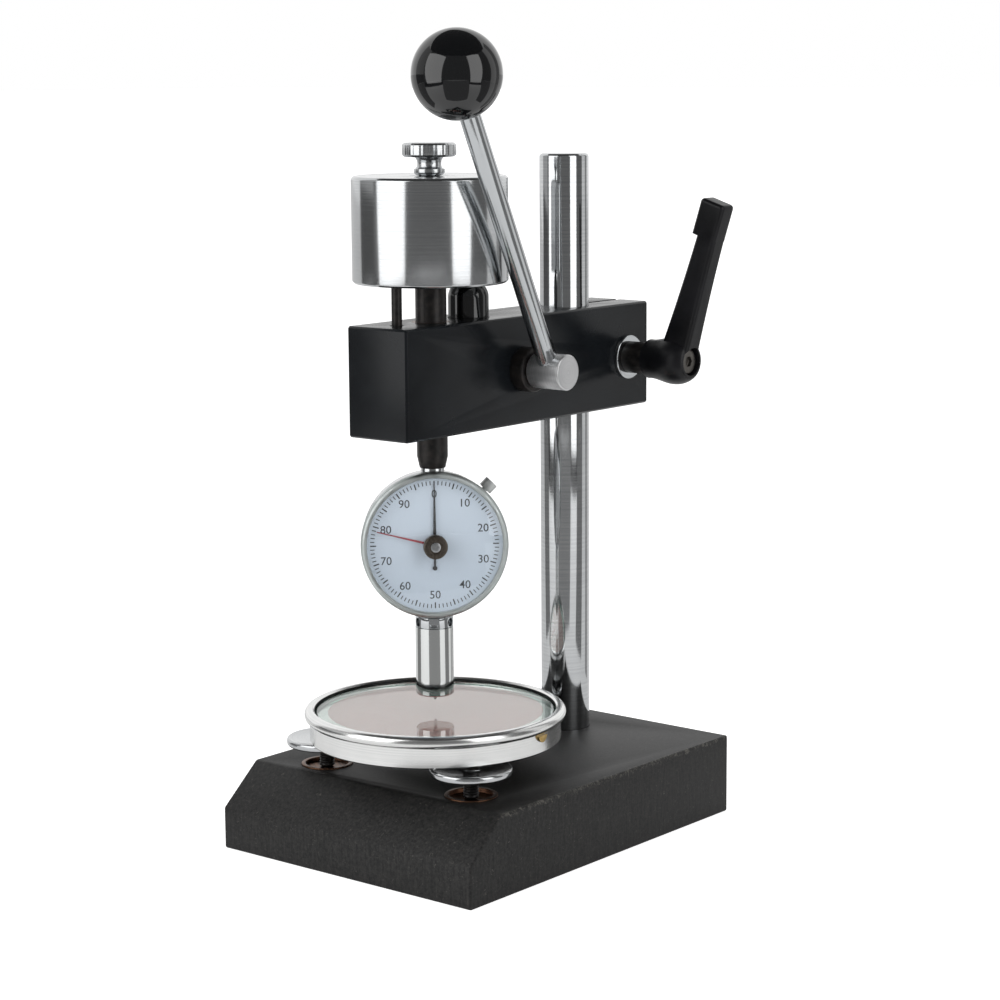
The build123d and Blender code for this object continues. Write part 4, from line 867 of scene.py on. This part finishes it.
# the screw in its middle, with a cross recess cut to half its height
RECESS = (2.2, 0.5, 0.6)    # length, width and height of the cutter, mm
screw = turn("drag_knob_screw", [(1.9, 12.4), (1.9, 12.85), (1.6, 12.97)], dial_place, 0.0,
             steps=64)
for turned in (0, pi / 2):
    cutter = plain("cube", size=1.0)
    cutter.data.transform(dial_place @ Matrix.Translation((0, 0, 13.0 * MM))
                          @ Matrix.Rotation(turned + radians(20), 4, "Z")
                          @ Matrix.Diagonal((*(side * MM for side in RECESS), 1)))
    cutting = screw.modifiers.new("recess", "BOOLEAN")
    cutting.object = cutter
    cutting.solver = "EXACT"
    bpy.context.view_layer.objects.active = screw
    bpy.ops.object.modifier_apply(modifier=cutting.name)
    bpy.data.objects.remove(cutter)
trim(screw, steel_screw, "drag_knob")

install(refine("bezel_clamp_turned", "bezel_clamp", 0.15),
        bright_plate("satin_clamp_nickel", "#cdd0cf", 0.3), "bezel_clamp")
install(refine("lock_collar_drilled", "lock_collar", 0.12), chrome, "lock_collar")
low, high = span("foot_sleeve", 2)
radius = half_width("foot_sleeve")
outline = [(0.9, low), (radius - 0.5, low), (radius, low + 0.5), (radius, high), (4.5, high),
           (4.5, high - 3.0), (4.0, high - 3.0), (4.0, low + 4.0), (0.9, low + 4.0)]
sleeve = turn("foot_sleeve_turned", outline, upright("foot_sleeve"), 0.0, steps=128, closed=True)
install(sleeve, bright_plate("polished_sleeve_chrome", "#dcdedd", 0.045), "foot_sleeve")
install(refine("indenter_ground", "indenter", 0.03), steel_screw, "indenter")

# ------------------------------------------------------------------ pieces that keep their CAD mesh
inner_finishes = {
    "column_screw": steel_screw, "column_washer": steel_screw,
    "spindle_bushes": bronze, "lever_crank": oxide, "crank_pin": steel_screw,
    "damper_piston": steel_screw, "damper_spring": spring_steel, "damper_plug": brass,
    "mounting_stud": steel_screw, "cover_screws": steel_screw, "movement_plate": brass,
    "movement_screws": steel_screw, "indenter_spring": spring_steel,
}
for node, finish in inner_finishes.items():
    kept = frame["nodes"][node]
    for slot in kept.material_slots:
        slot.material = finish

# ------------------------------------------------------------------ studio
CAMERA_AT = Vector((650.05, -777.60, 304.33)) * MM
CAMERA_PITCH = radians(-9.478)
CAMERA_ROLL = radians(-0.395)
FOCAL_PIXELS = 2587.4
IMAGE_PIXELS = 1000
SENSOR = 36.0

to_camera = Vector((sin(CAMERA_HEADING), -cos(CAMERA_HEADING), 0))
to_right = Vector((cos(CAMERA_HEADING), sin(CAMERA_HEADING), 0))


def around(angle, distance, height):
    """A point of the studio, at an angle from the camera's side towards its right."""
    flat = to_camera * cos(radians(angle)) + to_right * sin(radians(angle))
    return Vector((flat.x * distance, flat.y * distance, height))


lens = bpy.data.cameras.new("camera")
lens.sensor_width = SENSOR
lens.lens = FOCAL_PIXELS / IMAGE_PIXELS * SENSOR
camera = bpy.data.objects.new("camera", lens)
bpy.context.collection.objects.link(camera)
camera.location = CAMERA_AT
camera.rotation_euler = (
    Matrix.Rotation(CAMERA_HEADING, 4, "Z")
    @ Matrix.Rotation(pi / 2 + CAMERA_PITCH, 4, "X")
    @ Matrix.Rotation(CAMERA_ROLL, 4, "Z")
).to_euler()
bpy.context.scene.camera = camera
bpy.context.scene.view_settings.view_transform = "Standard"

LAMP_DISTANCE = 0.75
LAMP_MIDDLE = 0.435         # height of a softbox's centre over the floor
LAMP_HEIGHT = 0.86          # height of the softbox itself
LAMP_AIM = Vector((0, 0, 0.2))
# for each softbox: its angle, its width and its power
SOFTBOXES = (("left_softbox", -56.5, 0.65, 3.15), ("right_softbox", 46, 0.43, 2.1))
for name, angle, width, power in SOFTBOXES:
    light = bpy.data.lights.new(name, "AREA")
    light.shape = "RECTANGLE"
    light.size = width
    light.size_y = LAMP_HEIGHT
    light.energy = power
    lamp = bpy.data.objects.new(name, light)
    bpy.context.collection.objects.link(lamp)
    lamp.location = around(angle, LAMP_DISTANCE, LAMP_MIDDLE)
    lamp.rotation_euler = (lamp.location - LAMP_AIM).to_track_quat("Z", "Y").to_euler()

# the pale floor is white to the eye and to mirrors, and keeps the object's shadow
FLOOR_GLOW = 0.72           # how much the floor glows for the camera
MIRRORED_GLOW = 0.1         # and how much it glows in mirrors and through glass
floor = plain("plane", size=60.0, location=(0, 0, 0))
floor.name = "floor"
floor_finish, tree, shader, _ = start_finish(
    "white_floor", {"Roughness": 0.9, "Base Color": colour("#f4f4f4"), "Emission Color": WHITE}
)
path = add_node(tree, "ShaderNodeLightPath")
mirrored = add_node(tree, "ShaderNodeMath", {"operation": "MAXIMUM"},
                    links={0: path.outputs["Is Glossy Ray"],
                           1: path.outputs["Is Transmission Ray"]})
dimmer = add_node(tree, "ShaderNodeMath", {"operation": "MULTIPLY"}, {1: MIRRORED_GLOW},
                  {0: mirrored.outputs[0]})
glow = add_node(tree, "ShaderNodeMath", {"operation": "MULTIPLY_ADD"}, {1: FLOOR_GLOW},
                {0: path.outputs["Is Camera Ray"], 2: dimmer.outputs[0]})
tree.links.new(glow.outputs[0], shader.inputs["Emission Strength"])
floor.data.materials.append(floor_finish)

# grey and black cloths round the front of the studio give polished metal its dark bands;
# seen only in mirrors, each is as bright as its level says
CLOTH_HEIGHT = 1.5
CLOTH_DISTANCE = 1.3
CLOTH_NEAR = 0.24           # where the cloths on the floor begin
UNDER_LAMP = 0.76           # where they begin under a softbox
CLOTH_STEPS = 6             # flat strips in each hanging cloth


def cloth_sheet(name, corners, faces, level):
    """A hanging or lying studio cloth that only mirrors see."""
    start("plane", size=0.01, location=(0, 0, 0))
    bpy.ops.mesh.delete(type="VERT")
    bpy.ops.object.mode_set(mode="OBJECT")
    sheet = bpy.context.object
    sheet.name = name
    sheet.data.from_pydata(corners, [], faces)
    finish = start_finish(
        f"studio_cloth_{name}", {"Base Color": colour("#0a0a0b"), "Roughness": 0.9,
                                 "Emission Color": WHITE, "Emission Strength": level}
    )[0]
    sheet.data.materials.append(finish)
    sheet.visible_camera = False
    sheet.visible_diffuse = False
    sheet.visible_shadow = False
    sheet.visible_transmission = False


# for each cloth: its first and last angle, its lowest and highest edge, and its level
CLOTHS = (
    ("far_left", -118, -86, 0.0, 0.3, 0.10),
    ("high_left", -118, -86, 0.3, CLOTH_HEIGHT, 0.45),
    ("front", -86, 66, 0.0, CLOTH_HEIGHT, 0.16),
    ("right", 66, 92, 0.0, CLOTH_HEIGHT, 0.14),
    ("right_gap", 92, 114, 0.0, CLOTH_HEIGHT, 0.75),
    ("far_right", 114, 130, 0.0, CLOTH_HEIGHT, 0.30),
)
for name, first_angle, last_angle, low, high, level in CLOTHS:
    corners = []
    faces = []
    for i in range(CLOTH_STEPS + 1):
        angle = first_angle + (last_angle - first_angle) * i / CLOTH_STEPS
        corners += [around(angle, CLOTH_DISTANCE, low), around(angle, CLOTH_DISTANCE, high)]
        if i:
            faces.append((2 * i - 2, 2 * i, 2 * i + 1, 2 * i - 1))
    cloth_sheet(f"{name}_wall", corners, faces, level)
# runs of cloth over the floor: angles, nearest and farthest edge, level
FLOOR_CLOTHS = (
    ("far_left", -118, -86, CLOTH_NEAR, CLOTH_DISTANCE, 0.2),
    ("under_left_lamp", -86, -33, UNDER_LAMP, CLOTH_DISTANCE, 0.05),
    ("between", -33, 30, CLOTH_NEAR, CLOTH_DISTANCE, 0.26),
    ("under_right_lamp", 30, 62, UNDER_LAMP, CLOTH_DISTANCE, 0.05),
    ("right", 62, 92, CLOTH_NEAR, CLOTH_DISTANCE, 0.2),
    ("far_right", 114, 130, CLOTH_NEAR, CLOTH_DISTANCE, 0.35),
)
for name, first_angle, last_angle, near, far, level in FLOOR_CLOTHS:
    corners = [around(first_angle, near, MM), around(last_angle, near, MM),
               around(last_angle, far, MM), around(first_angle, far, MM)]
    cloth_sheet(f"{name}_floor", corners, [(0, 1, 2, 3)], level)
CEILING_REACH = 1.5
overhead = to_camera * 0.6 + Vector((0, 0, CLOTH_HEIGHT))
corners = [overhead + Vector((x * CEILING_REACH, y * CEILING_REACH, 0))
           for x, y in ((-1, -1), (1, -1), (1, 1), (-1, 1))]
cloth_sheet("ceiling", corners, [(0, 1, 2, 3)], 0.05)

# the backdrop is white to the eye and in mirrors, and lights matt surfaces less
ROOM_LIGHT = 0.6
BACKDROP = 1.0
world = bpy.data.worlds.new("white_backdrop")
bpy.context.scene.world = world
world.use_nodes = True
tree = world.node_tree
sky = tree.nodes["Background"]
sky.inputs["Color"].default_value = WHITE
path = add_node(tree, "ShaderNodeLightPath")
seen = add_node(tree, "ShaderNodeMath", {"operation": "MAXIMUM"},
                links={0: path.outputs["Is Camera Ray"], 1: path.outputs["Is Glossy Ray"]})
seen_or_through = add_node(tree, "ShaderNodeMath", {"operation": "MAXIMUM"},
                           links={0: seen.outputs[0], 1: path.outputs["Is Transmission Ray"]})
level = add_node(tree, "ShaderNodeMapRange",
                 values={"To Min": ROOM_LIGHT, "To Max": BACKDROP},
                 links={"Value": seen_or_through.outputs[0]})
tree.links.new(level.outputs[0], sky.inputs["Strength"])
